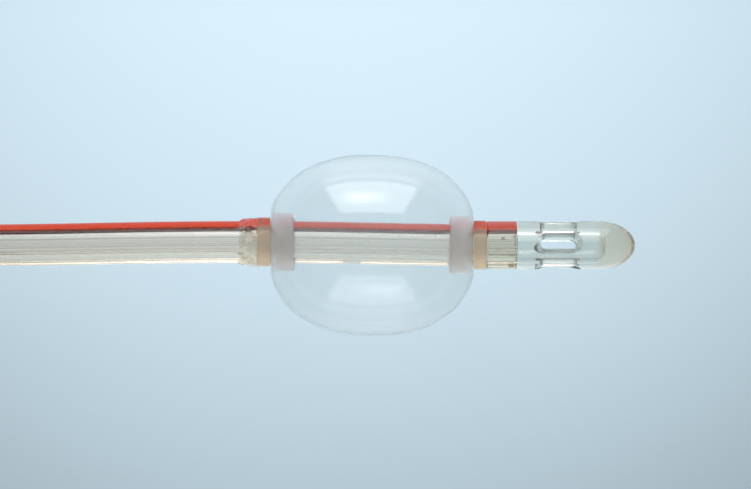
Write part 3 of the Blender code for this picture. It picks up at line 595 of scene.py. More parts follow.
def extruded(name, points, sizes, material):
    """A length of the shaft along the points, closed at its ends."""
    values = {"Material": material}
    for label in ("Diameter", "Ribs", "Rib Height", "Drain", "Drain Rise", "Inflation", "Inflation Drop"):
        values[label] = getattr(sizes, label.lower().replace(" ", "_"))
    return close_ends(by_nodes(route_curve(name, points), extrusion_tree(), values))


def striped(name, points, sizes, material):
    """The stripe of such a length."""
    outer = sizes.diameter / 2 - sizes.rib_height - 0.05 * MM
    half = sizes.stripe_width / sizes.diameter
    values = {
        "Outer Radius": outer,
        "Inner Radius": outer - sizes.stripe_depth,
        "Start": -sizes.stripe_turn - half,
        "Sweep": 2 * half,
        "Material": material,
    }
    return smoothed(by_nodes(route_curve(name, points), stripe_tree(), values), 40)


def turned(name, profile, segments, ring=False):
    """Spins (x, radius) points about X."""
    bm = bmesh.new()
    verts = [bm.verts.new((x, radius, 0.0)) for x, radius in profile]
    edges = [bm.edges.new(pair) for pair in zip(verts, verts[1:])]
    if ring:
        edges.append(bm.edges.new((verts[-1], verts[0])))
    whole = {"cent": (0, 0, 0), "axis": (1, 0, 0), "angle": math.tau, "steps": segments}
    bmesh.ops.spin(bm, geom=verts + edges, use_merge=True, **whole)
    bmesh.ops.remove_doubles(bm, verts=bm.verts, dist=1e-7)
    return mesh_from(name, bm, 40)


def carved(mesh, tools, joined=(), voxel=0.0):
    """The mesh with the joined pieces added, rounded off by a fine remesh, and the tools taken out."""
    body = new_object(mesh.name, mesh)

    def combine(pieces, operation):
        for piece in pieces:
            change = body.modifiers.new(piece.name, "BOOLEAN")
            change.operation = operation
            change.object = piece

    combine(joined, "UNION")
    if voxel:
        change = body.modifiers.new("round_off", "REMESH")
        change.mode = "VOXEL"
        change.voxel_size = voxel
        change = body.modifiers.new("soften", "SMOOTH")
        change.factor = 0.5
        change.iterations = 6
        change = body.modifiers.new("thin_out", "DECIMATE")
        change.ratio = 0.4
    combine(tools, "DIFFERENCE")
    graph = bpy.context.evaluated_depsgraph_get()
    made = bpy.data.meshes.new_from_object(body.evaluated_get(graph))
    for spare in [body, *joined, *tools]:
        bpy.data.objects.remove(spare)
    return smoothed(made, 32)


def mark_faces(mesh, name, is_marked):
    """Marks faces by their place: bonded where adhesive wets them, cut where a punch made them, which are
    matt and painted darker as shade.
    """
    marks = mesh.attributes.new(name, "FLOAT", "FACE")
    marks.data.foreach_set("value", [float(is_marked(face.center)) for face in mesh.polygons])


def from_axis(point):
    """Distance from the shaft's axis under the balloon."""
    return math.hypot(point.y - bow(point.x - BALLOON_X), point.z - AXIS_Z)


def under_bond(point):
    """Whether a place on the shaft's skin lies in a cuff, the bead or the tip's socket."""
    deepest = 2.6 * MM
    covered = BEAD_LOW.x + 0.4 * MM < point.x < SHAFT_HIGH.x - 0.05 * MM
    outside_balloon = abs(point.x - BALLOON_X) > CUFF_END - CUFF_LENGTH
    return covered and outside_balloon and from_axis(point) > deepest


def in_frame(mesh, matrix):
    """The mesh moved into one of the frames."""
    mesh.transform(matrix)
    return mesh


def rounded(profile, radius, steps=3):
    """The open profile with each inner corner rounded off, as a tool leaves no dead-sharp edge."""
    points = [Vector(point) for point in profile]
    found = [points[0]]
    for before, at, after in zip(points, points[1:], points[2:]):
        into = before - at
        out = after - at
        reach = min(radius, into.length * 0.4, out.length * 0.4)
        start = at + into.normalized() * reach
        end = at + out.normalized() * reach
        for i in range(steps + 1):
            t = i / steps
            found.append(start * (1 - t) ** 2 + at * 2 * t * (1 - t) + end * t**2)
    found.append(points[-1])
    return [tuple(point) for point in found]


def bar(name, points, section):
    """Straight prism from the first point to the second, with the section in (y, z)."""
    bm = bmesh.new()
    ends = [[bm.verts.new(Vector(point) + Vector((0.0, y, z))) for y, z in section] for point in points]
    count = len(section)
    for i in range(count):
        j = (i + 1) % count
        bm.faces.new((ends[0][i], ends[0][j], ends[1][j], ends[1][i]))
    bm.faces.new(ends[0])
    bm.faces.new(ends[1])
    return mesh_from(name, bm)


def round_section(radius, y=0.0, count=32):
    """Points of a circle, its centre at y on the first axis."""
    angles = [math.tau * i / count for i in range(count)]
    return [(y + radius * math.cos(angle), radius * math.sin(angle)) for angle in angles]


def shift_mesh(mesh, x, y, z):
    """The mesh moved."""
    mesh.transform(Matrix.Translation((x, y, z)))
    return mesh


def flat_sheet(name, corners):
    """An object of one four-cornered face."""
    data = bpy.data.meshes.new(name)
    data.from_pydata(corners, [], [(0, 1, 2, 3)])
    return new_object(name, data)


class CATHETER_OT_stage(bpy.types.Operator):
    """Pale floor, soft light and the camera that looks straight down"""

    bl_idname = "catheter.stage"
    bl_label = "Stage"

    def execute(self, context):
        colours = context.scene.catheter_finishes
        side = 1.5
        floor = flat_sheet("floor", [(-side, -side, 0), (side, -side, 0), (side, side, 0), (-side, side, 0)])
        floor.location.z = -0.05 * MM
        # Opal acrylic lit from below: even, no shadows, brightest behind the top left of the picture
        made, tree = new_material("opal_acrylic_sheet")
        brightest, peak, fall = (-0.014, 0.060, 0.0), 0.938, -38.4
        place = node(tree, "ShaderNodeTexCoord").outputs["Object"]
        away = node(tree, "ShaderNodeVectorMath", {0: place, 1: brightest}, operation="SUBTRACT")
        square = node(tree, "ShaderNodeVectorMath", {0: away, 1: away}, operation="DOT_PRODUCT")
        glow = maths(tree, "MULTIPLY_ADD", square.outputs["Value"], fall, peak)
        y = node(tree, "ShaderNodeSeparateXYZ", {0: place}).outputs["Y"]
        sockets = {"Value": y, "From Min": 0.07, "From Max": 0.033, "To Min": 0.45}
        far = node(tree, "ShaderNodeMapRange", sockets, interpolation_type="SMOOTHSTEP")
        fading = maths(tree, "MULTIPLY", glow, far)
        # The dimmest light of the sheet, and how softly the fading glow reaches it
        least = maths(tree, "SMOOTH_MAX", fading, 0.407, 0.136)
        sockets = {"Base Color": linear("#596165"), "Roughness": 0.16}
        sockets.update({"Emission Color": colours.backdrop, "Emission Strength": least})
        node(tree, "ShaderNodeOutputMaterial", {"Surface": node(tree, "ShaderNodeBsdfPrincipled", sockets)})
        floor.data.materials.append(made)

        # One upright softbox at the far side: brightest at its bulb, fading toward its edges
        width, height = 0.64, 0.74
        corners = [(-width / 2, 0, -height / 2), (width / 2, 0, -height / 2)]
        corners += [(width / 2, 0, height / 2), (-width / 2, 0, height / 2)]
        lamp = flat_sheet("softbox", corners)
        lamp.location = (BALLOON_X, 0.6, 0.36)
        lamp.visible_camera = False
        made, tree = new_material("softbox_cloth")
        place = node(tree, "ShaderNodeTexCoord").outputs["Object"]
        at = node(tree, "ShaderNodeSeparateXYZ", {0: place})
        bulb = node(tree, "ShaderNodeVectorMath", {0: place, 1: (-0.05, 0.0, -0.03)}, operation="DISTANCE")
        sockets = {"Value": bulb.outputs["Value"], "From Min": 0.20, "From Max": 0.0, "To Max": 4.5}
        hot = node(tree, "ShaderNodeMapRange", sockets, interpolation_type="SMOOTHSTEP")
        fades = []
        for socket, half in ((at.outputs["X"], width / 2), (at.outputs["Z"], height / 2)):
            out = maths(tree, "ABSOLUTE", socket)
            sockets = {"Value": out, "From Min": half, "From Max": half - 0.08}
            fades.append(node(tree, "ShaderNodeMapRange", sockets, interpolation_type="SMOOTHSTEP"))
        share = maths(tree, "MULTIPLY", fades[0], fades[1])
        strength = maths(tree, "MULTIPLY_ADD", share, 3.6, hot)
        shine = node(tree, "ShaderNodeEmission", {"Color": linear("#FFFFFC"), "Strength": strength})
        node(tree, "ShaderNodeOutputMaterial", {"Surface": shine})
        lamp.data.materials.append(made)

        # A dim room, a little lighter where the camera looks past the sheet
        world = bpy.data.worlds.new("studio")
        world.use_nodes = True
        tree = world.node_tree
        room = tree.nodes["Background"]
        room.inputs["Color"].default_value = linear("#DDE6EC")
        seen = node(tree, "ShaderNodeLightPath").outputs["Is Camera Ray"]
        strength = node(tree, "ShaderNodeMapRange", {"Value": seen, "To Min": 0.35, "To Max": 0.4})
        tree.links.new(strength.outputs[0], room.inputs["Strength"])
        context.scene.world = world
        context.scene.view_settings.view_transform = "Standard"
        # A ray crosses the skin, a cuff, the shaft and its lumens on the way in and on the way out
        context.scene.cycles.max_bounces = 32
        context.scene.cycles.transmission_bounces = 32
        context.scene.cycles.transparent_max_bounces = 32

        data = bpy.data.cameras.new("camera")
        data.sensor_width = SENSOR
        data.lens = SENSOR * CAMERA_DISTANCE / (FRAME_W * PIXEL)
        data.clip_start = 0.01
        camera = new_object("camera", data)
        camera.location = (
            BALLOON_X + (FRAME_W / 2 - BALLOON_PX[0]) * PIXEL,
            (BALLOON_PX[1] - FRAME_H / 2) * PIXEL,
            AXIS_Z + CAMERA_DISTANCE,
        )
        context.scene.camera = camera
        return {"FINISHED"}


class CATHETER_OT_shaft(bpy.types.Operator):
    """Ribbed two-lumen extrusion with its red stripe, free and under the balloon"""

    bl_idname = "catheter.shaft"
    bl_label = "Shaft"

    def execute(self, context):
        sizes = context.scene.catheter_shaft
        colours = context.scene.catheter_finishes
        # Extruded platinum-cured silicone: clear, straw-coloured over its thickness, with painted shade in
        # dark streaks and painted highlights in pale milky lines along its ribs
        silicone = clear_silicone(
            "extruded_clear_silicone",
            colours.shaft,
            0.05,
            "#FCECCB",
            105.0,
            milk=0.4,
            cloud="#FFFFFA",
            field=crest_highlights,
            streak_shade="#BDBBB5",
        )
        # Silicone filled with barium sulphate and a red pigment: opaque, satin, with painted shade on its
        # sides down in the wall
        red = solid_material("red_barium_silicone", colours.stripe, 0.4, specular=0.0, flank_shade="#5A0A05")

        route = free_route()
        hose = extruded("free_shaft", route, sizes, silicone)
        mark_faces(hose, "bonded", under_bond)
        nodes = ("shaft_lead", "shaft_coil", "shaft_tail")
        finished("free_shaft", hose, silicone, "root", "shaft_silicone", *nodes)
        finished("free_stripe", striped("free_stripe", route, sizes, red), red, "root", "stripe_red")
        near = distal_route()
        shaft = extruded("distal_extrusion", near, sizes, silicone)
        # The inflation eye is cut from the skin into its lumen
        eye_x = -2.9 * MM
        half = Vector((1.25 * MM, 0.0, 0.0))
        middle = Vector((BALLOON_X + eye_x, bow(eye_x), AXIS_Z))
        slot = [(y * MM, z * MM) for y, z in ((-3.4, -0.45), (-3.4, 0.45), (-2.0, 0.45), (-2.0, -0.45))]
        tool = bar("inflation_eye_tool", (middle - half, middle + half), slot)
        shaft = carved(shaft, [new_object(tool.name, tool)])
        mark_faces(shaft, "bonded", under_bond)

        def in_eye(point):
            away = point - middle
            return abs(away.x) < 1.3 * MM and point.y < -1.5 * MM and abs(away.z) < 0.46 * MM

        # The eye's cut faces are matt and painted darker as shade
        mark_faces(shaft, "cut_and_shade", in_eye)
        finished("distal_extrusion", shaft, silicone, "root", "shaft_silicone", "distal_shaft")
        band = striped("distal_stripe", near, sizes, red)
        finished("distal_stripe", band, red, "root", "stripe_red", "contrast_stripe")
        return {"FINISHED"}


class CATHETER_OT_balloon(bpy.types.Operator):
    """Blown sleeve with its two bonded cuffs"""

    bl_idname = "catheter.balloon"
    bl_label = "Balloon"

    def execute(self, context):
        sizes = context.scene.catheter_balloon
        bore = context.scene.catheter_shaft.diameter / 2 - 0.02 * MM
        cuff = sizes.cuff_diameter / 2
        inner_x = sizes.cuff_spacing / 2
        edge = 0.1 * MM
        skin = balloon_skin(sizes, cuff, inner_x)
        inside = offset(skin, sizes.membrane)[3:-3]
        profile = [(-CUFF_END, bore), (-CUFF_END, cuff - edge), (-CUFF_END + edge, cuff), *skin]
        profile += [(CUFF_END - edge, cuff), (CUFF_END, cuff - edge), (CUFF_END, bore), (inner_x, bore)]
        profile += [*reversed(inside), (-inner_x, bore)]
        mesh = turned("balloon_sleeve", profile, 128, ring=True)
        # The cuffs follow the bowed shaft, and the blown part leans with it
        lean = (bow(-MM) - bow(MM)) / (2 * MM)
        for vertex in mesh.vertices:
            x, y, z = vertex.co
            free = smooth_step((math.hypot(y, z) - cuff) / (sizes.diameter / 4))
            vertex.co.x += lean * y * free
            vertex.co.y += bow(x) * (1 - free) - lean * x * free
        shift_mesh(mesh, BALLOON_X, 0.0, AXIS_Z)
        mark_faces(mesh, "bonded", lambda point: from_axis(point) < bore + 0.02 * MM)
        # Blown silicone film: clear with a faint milk, which greys what is seen through it
        film = clear_silicone(
            "blown_silicone_film", linear("#FBFBFB"), 0.07, "#F3EDE7", 60.0, milk=0.085, cloud="#E2E8EA"
        )
        # The same sleeve where adhesive bonds it down: cloudy and tan
        bonded = clear_silicone(
            "bonded_silicone_cuff", linear("#FAF4EF"), 0.25, "#ECE2D4", 80.0, milk=0.42, cloud="#E8DACD"
        )
        # Where the film rolls in over the cuff it lies double and shows grey
        rolled = clear_silicone(
            "rolled_silicone_film", linear("#EFECEF"), 0.7, "#EDE7EC", 60.0, milk=0.14, cloud="#C4B8C3"
        )
        finished("balloon_sleeve", mesh, film, "root", "balloon_silicone", "balloon")
        mesh.materials.append(bonded)
        mesh.materials.append(rolled)
        for face in mesh.polygons:
            radius = from_axis(face.center)
            if radius < cuff + 0.05 * MM:
                face.material_index = 1
            elif radius < cuff + 0.9 * MM:
                face.material_index = 2
        return {"FINISHED"}


def balloon_skin(sizes, cuff, inner_x):
    """Outside of the membrane, from one crevice over the equator to the other."""
    end = sizes.length / 2
    top = sizes.diameter / 2
    crevice = 0.4 * MM
    lip = cuff + crevice
    turn_x = inner_x + crevice / 2
    half = []
    steps = 8
    for i in range(steps + 1):
        angle = math.pi * i / steps
        half.append((turn_x - crevice / 2 * math.sin(angle), cuff + crevice / 2 * (1 - math.cos(angle))))
    steps = 12
    for i in range(steps):
        angle = math.pi / 2 * i / steps
        x = end - sizes.roll_length * (1 - math.sin(angle))
        half.append((x, lip + sizes.roll_height * (1 - math.cos(angle))))
    # The ellipse passes through the end of the roll, which is the balloon's full length
    first = math.asin(((lip + sizes.roll_height) / top) ** (1 / sizes.fullness))
    reach = end / math.cos(first) ** sizes.fullness
    steps = 44
    for i in range(steps + 1):
        angle = first + (math.pi / 2 - first) * i / steps
        x = reach * max(math.cos(angle), 0.0) ** sizes.fullness
        half.append((x, top * math.sin(angle) ** sizes.fullness))
    half[-1] = (0.0, top)
    # Rounds off the corner between the roll and the ellipse
    for _ in range(6):
        triples = zip(half[12:], half[13:], half[14:])
        half[13:-1] = [tuple((a[k] + b[k] * 2 + c[k]) / 4 for k in (0, 1)) for a, b, c in triples]
    left = [(-x, radius) for x, radius in half]
    return left + list(reversed(half))[1:]


def offset(points, distance):
    """The same open line moved sideways by distance, to its right as it runs along +X."""
    found = []
    for i, point in enumerate(points):
        before = Vector(points[max(i - 1, 0)])
        after = Vector(points[min(i + 1, len(points) - 1)])
        along = (after - before).normalized()
        found.append((point[0] + along.y * distance, point[1] - along.x * distance))
    return found


class CATHETER_OT_adhesive(bpy.types.Operator):
    """Ragged bead at the proximal cuff, spots under the tip's socket and the plug"""

    bl_idname = "catheter.adhesive"
    bl_label = "Adhesive"

    def execute(self, context):
        shaft = context.scene.catheter_shaft
        bore = shaft.diameter / 2 - 0.03 * MM
        start = BEAD_LOW.x - BALLOON_X
        long = BEAD_HIGH.x - BALLOON_X + 0.25 * MM - start
        rise = 0.52 * MM
        shares = [i / 14 for i in range(15)]
        profile = [(start + long * share, bore + 0.08 * MM + rise * share**0.8) for share in shares]
        profile += [(start + long * (1 - i / 6), bore) for i in range(7)]
        mesh = turned("ragged_bead", profile, 96, ring=True)
        for vertex in mesh.vertices:
            x, y, z = vertex.co
            radius = math.hypot(y, z)
            angle = math.atan2(z, y)
            along = (x - start) / long
            # The front edge runs ahead in tongues, and the surface is lumpy
            tongue = noise.noise(Vector((math.cos(angle) * 2.6, math.sin(angle) * 2.6, 3.0))) * 0.9 * MM
            lump = abs(noise.noise(vertex.co / MM * 0.8)) * 0.9 * MM - 0.22 * MM
            vertex.co.x += tongue * (1 - along)
            if radius > bore + 0.03 * MM:
                grown = max(radius + lump * (0.35 + 0.65 * (1 - along)), bore + 0.03 * MM)
                vertex.co.y = y / radius * grown
                vertex.co.z = z / radius * grown
            vertex.co.y += bow(x)
        shift_mesh(mesh, BALLOON_X, 0.0, AXIS_Z)
        mark_faces(mesh, "bonded", lambda point: from_axis(point) < bore + 0.01 * MM)
        # Silicone adhesive cured in air: clear but full of fine bubbles, and uneven
        clear = clear_silicone(
            "cured_silicone_adhesive",
            linear("#FFFAF6"),
            0.1,
            "#E7EDE7",
            30.0,
            milk=0.45,
            cloud="#F0F4F0",
            field=patches,
            grain=(1100.0, 1.0),
        )
        finished("ragged_bead", mesh, clear, "root", "adhesive", "proximal_bead")

        # Place, length and width of each spot on the shaft's skin, in millimetres
        spots = bmesh.new()
        for x, y, z, length, width in (
            (-18.3, -2.05, 1.9, 0.34, 0.22),
            (-17.8, -2.25, 1.6, 0.26, 0.20),
            (-17.4, -1.95, 2.1, 0.30, 0.18),
            (-17.0, -2.3, 1.7, 0.20, 0.20),
            (-17.9, -2.5, 1.2, 0.30, 0.16),
            (17.9, -0.6, 2.98, 0.45, 0.16),
            (18.6, 0.9, 2.86, 0.30, 0.22),
            (18.1, -1.3, 2.72, 0.22, 0.12),
            (20.2, 1.2, 2.75, 0.20, 0.30),
            (20.3, 0.2, 3.0, 0.12, 0.42),
            (19.3, -0.9, 2.88, 0.35, 0.10),
        ):
            place = Matrix.Translation((x * MM, bow(x * MM) + y * MM, z * MM))
            matrix = place @ Matrix.Diagonal((length * MM, width * MM, 0.10 * MM, 1.0))
            bmesh.ops.create_icosphere(spots, subdivisions=3, radius=1.0, matrix=matrix)
        data = shift_mesh(mesh_from("adhesive_spots", spots, 180), BALLOON_X, 0.0, AXIS_Z)
        # Trapped air turns small spots of the adhesive white; their rosy cast is the red stripe's light
        # showing in them, painted into their colour
        cloudy = clear_silicone(
            "bubbly_silicone_adhesive", linear("#F4ECE8"), 0.25, "#E7DADA", 200.0, milk=0.4, cloud="#E8DCD8"
        )
        finished("adhesive_spots", data, cloudy, "root", "adhesive")

        # The plug sits in the inflation lumen and bulges a little past its mouth
        low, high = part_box("inflation_plug")
        bore = shaft.inflation / 2
        half = (high.x - low.x) / 2
        outline = [(-half, 0.0), (-half, bore * 0.7), (-half * 0.6, bore * 0.98), (half * 0.5, bore * 0.98)]
        outline += [(half * 0.9, bore * 0.7), (half, bore * 0.3), (half, 0.0)]
        plug = turned("lumen_plug", rounded(outline, 0.1 * MM), 40)
        shift_mesh(plug, (low.x + high.x) / 2, (low.y + high.y) / 2, (low.z + high.z) / 2)
        # Cured in a thick drop, the adhesive turns amber
        amber = clear_silicone(
            "amber_silicone_adhesive", linear("#EAD8B4"), 0.2, "#E1C495", 300.0, milk=0.25, cloud="#C4A070"
        )
        finished("lumen_plug", plug, amber, "root", "adhesive", "inflation_plug")
        return {"FINISHED"}


class CATHETER_OT_tip(bpy.types.Operator):
    """Moulded tip with its lumen and four flared eyes"""

    bl_idname = "catheter.tip"
    bl_label = "Tip"

    def execute(self, context):
        outside, lumen, socket = 3.45 * MM, 1.74 * MM, 2.98 * MM
        # The socket's mouth meets the cuff, which the adhesive joins to it
        start = TIP_LOW.x - 0.24 * MM
        floor = SHAFT_HIGH.x
        nose_length = 5.3 * MM
        nose = TIP_HIGH.x - nose_length
        lumen_end = TIP_HIGH.x - 4.4 * MM
        corner = 1.0 * MM
        profile = [(lumen_end, 0.0), (lumen_end, (lumen - corner) / 2), (lumen_end, lumen - corner)]
        steps = 10
        for i in range(1, steps + 1):
            angle = math.pi / 2 * i / steps
            x = lumen_end - corner * (1 - math.cos(angle))
            profile.append((x, lumen - corner * (1 - math.sin(angle))))
        profile += [(floor, lumen), (floor, socket), (start, socket), (start, outside - 0.15 * MM)]
        profile += [(start + 0.15 * MM, outside)]
        steps = 28
        for i in range(steps):
            angle = math.pi / 2 * i / steps
            profile.append((nose + nose_length * math.sin(angle), outside * math.cos(angle)))
        profile.append((TIP_HIGH.x, 0.0))
        mesh = turned("moulded_tip", profile, 160)
        # The lumen lies a little off the axis, away from the stripe
        for vertex in mesh.vertices:
            if math.hypot(vertex.co.y, vertex.co.z) < lumen * 1.01 and vertex.co.x <= lumen_end + 0.1 * MM:
                vertex.co.y -= 0.14 * MM
        shift_mesh(mesh, 0.0, 0.0, AXIS_Z)
        eye_x = floor + 6.0 * MM
        tools = []
        for i in range(4):
            tool = new_object(f"eye_tool_{i}", eye_mesh(outside, lumen))
            turn = Matrix.Rotation(math.tau * i / 4 - math.radians(6), 4, "X")
            tool.matrix_world = Matrix.Translation((eye_x, 0.0, AXIS_Z)) @ turn
            tools.append(tool)
        made = carved(mesh, tools)

        def in_socket(point):
            return point.x < floor - 0.02 * MM and from_axis(point) < socket + 0.1 * MM

        def in_eye(point):
            radius = math.hypot(point.y, point.z - AXIS_Z)
            return abs(point.x - eye_x) < 3.4 * MM and lumen + 0.16 * MM < radius < outside - 0.02 * MM

        mark_faces(made, "bonded", in_socket)
        # The eyes' cut faces are matt and painted darker as shade
        mark_faces(made, "cut_and_shade", in_eye)
        # Moulded silicone: the clearest piece, faintly straw-coloured in the solid nose
        silicone = clear_silicone(
            "moulded_clear_silicone",
            linear("#F5F7F5"),
            0.04,
            "#E7DABC",
            85.0,
            milk=0.45,
            cloud="#DECBB2",
            field=toward_apex,
        )
        finished("moulded_tip", made, silicone, "root", "tip_silicone", "tip")
        return {"FINISHED"}


class CATHETER_OT_connector(bpy.types.Operator):
    """Drainage funnel with its grip rings, the inflation arm, the web between them and the size band"""

    bl_idname = "catheter.connector"
    bl_label = "Connector"

    def execute(self, context):
        sizes = context.scene.catheter_connector
        shaft = context.scene.catheter_shaft
        neck, hub, funnel, rim = sizes.neck / 2, sizes.hub / 2, sizes.funnel / 2, sizes.rim / 2
        hub_x = 16.2 * MM
        crotch_x = hub_x + sizes.arm
        rim_x = sizes.length - 3.2 * MM
        outline = [(0.0, 0.0), (0.0, neck - 0.25 * MM), (0.25 * MM, neck)]
        for i in range(1, 10):
            share = i / 10
            outline.append((ARM_X * (0.2 + share * 0.8), neck + (hub - neck) * smooth_step(share)))
        outline += [(hub_x, hub), (crotch_x, hub)]
        grip_pitch, grip_width, grip_rise = 3.2 * MM, 1.5 * MM, 0.45 * MM
        for i in range(sizes.grips):
            middle = rim_x - grip_pitch * (sizes.grips - i)
            base = hub + (funnel - hub) * (middle - crotch_x) / (rim_x - crotch_x)
            for k in range(9):
                share = k / 8
                rise = grip_rise * math.sin(math.pi * share)
                outline.append((middle + (share - 0.5) * grip_width, base + rise))
        outline += [(rim_x - 0.4 * MM, funnel), (rim_x + 0.4 * MM, rim), (sizes.length - 0.5 * MM, rim)]
        outline += [(sizes.length, rim - 0.5 * MM), (sizes.length, 0.0)]
        body = in_frame(turned("y_connector_skin", outline, 96), NECK_FRAME)

        root, arm, collar = 3.5 * MM, sizes.arm / 2, 4.9 * MM
        end = sizes.arm_length
        limb = [(0.0, 0.0), (0.0, root), (end * 0.35, root), (end * 0.6, arm), (end - 4.7 * MM, arm)]
        limb += [(end - 4.1 * MM, collar), (end - 0.4 * MM, collar), (end, collar - 0.4 * MM), (end, 0.0)]
        limb_body = new_object("arm_blank", in_frame(turned("arm_blank", limb, 80), ARM_FRAME))

        web = bmesh.new()
        reach = end / 2
        far_corner = (ARM_X + reach * math.cos(ARM_TURN), reach * math.sin(ARM_TURN))
        corners = ((hub_x, 0.0), (ARM_X + reach, 0.0), far_corner)
        web_thickness = 2.4 * MM
        low = web.faces.new([web.verts.new((x, y, -web_thickness / 2)) for x, y in corners])
        made = bmesh.ops.extrude_face_region(web, geom=[low])["geom"]
        top = [item for item in made if isinstance(item, bmesh.types.BMVert)]
        bmesh.ops.translate(web, verts=top, vec=(0, 0, web_thickness))
        web_body = new_object("web_blank", in_frame(mesh_from("web_blank", web), NECK_FRAME))

        narrow, mouth, lumen = 3.6 * MM, 5.1 * MM, shaft.drain / 2
        step_x = sizes.length - 30.0 * MM
        cone_x = step_x - narrow
        bore = [(cone_x - 2 * MM, 0.0), (cone_x - 2 * MM, lumen), (cone_x, lumen), (step_x, narrow)]
        bore += [(sizes.length, mouth), (sizes.length + MM, mouth + 0.05 * MM), (sizes.length + MM, 0.0)]
        pocket_x, pocket, passage = end - 12.1 * MM, 3.37 * MM, 0.8 * MM
        hole = [(6.4 * MM, 0.0), (6.4 * MM, passage), (pocket_x, passage), (pocket_x, pocket)]
        hole += [(end + MM, pocket), (end + MM, 0.0)]
        drain_ends = ((-MM, 0.0, 0.0), (cone_x - 0.5 * MM, 0.0, 0.0))
        feed_ends = ((-MM, 0.0, 0.0), (17.4 * MM, 0.0, 0.0))
        feed_section = round_section(shaft.inflation / 2, shaft.inflation_drop, 20)
        cuts = (
            (turned("funnel_tool", bore, 96), NECK_FRAME),
            (bar("drain_tool", drain_ends, round_section(lumen, -shaft.drain_rise)), NECK_FRAME),
            (turned("arm_tool", hole, 64), ARM_FRAME),
            (bar("feed_tool", feed_ends, feed_section), NECK_FRAME),
        )
        tools = [new_object(tool.name, in_frame(tool, place)) for tool, place in cuts]
        skin = carved(body, tools, (limb_body, web_body), 0.3 * MM)
        # Moulded silicone with some filler: milky, its bores show as soft shadows; the mould's fine
        # grain gives it a satin skin
        milky = clear_silicone(
            "moulded_milky_silicone",
            linear("#F4F6F3"),
            0.32,
            "#EFECE2",
            90.0,
            milk=0.45,
            cloud="#E6E9E4",
            grain=(2600.0, 0.25),
        )
        finished("y_connector_skin", skin, milky, "root", "connector_silicone", "y_connector")

        inner, outer = arm + 0.02 * MM, arm + 0.57 * MM
        start, stop = end - 9.0 * MM, end - 5.0 * MM
        middle = ((start + stop) / 2, inner)
        ring = [middle, (start, inner), (start, outer), (stop, outer), (stop, inner), middle]
        ring = rounded(ring, 0.2 * MM)[:-1]
        band = in_frame(turned("colour_band", ring, 96, ring=True), ARM_FRAME)
        # Pigmented silicone ring, the size's colour: opaque with a soft sheen
        colour = context.scene.catheter_finishes.band
        red = solid_material("pigmented_silicone_band", colour, 0.42, grain=1500.0)
        finished("colour_band", band, red, "root", "band_red", "size_band")
        return {"FINISHED"}


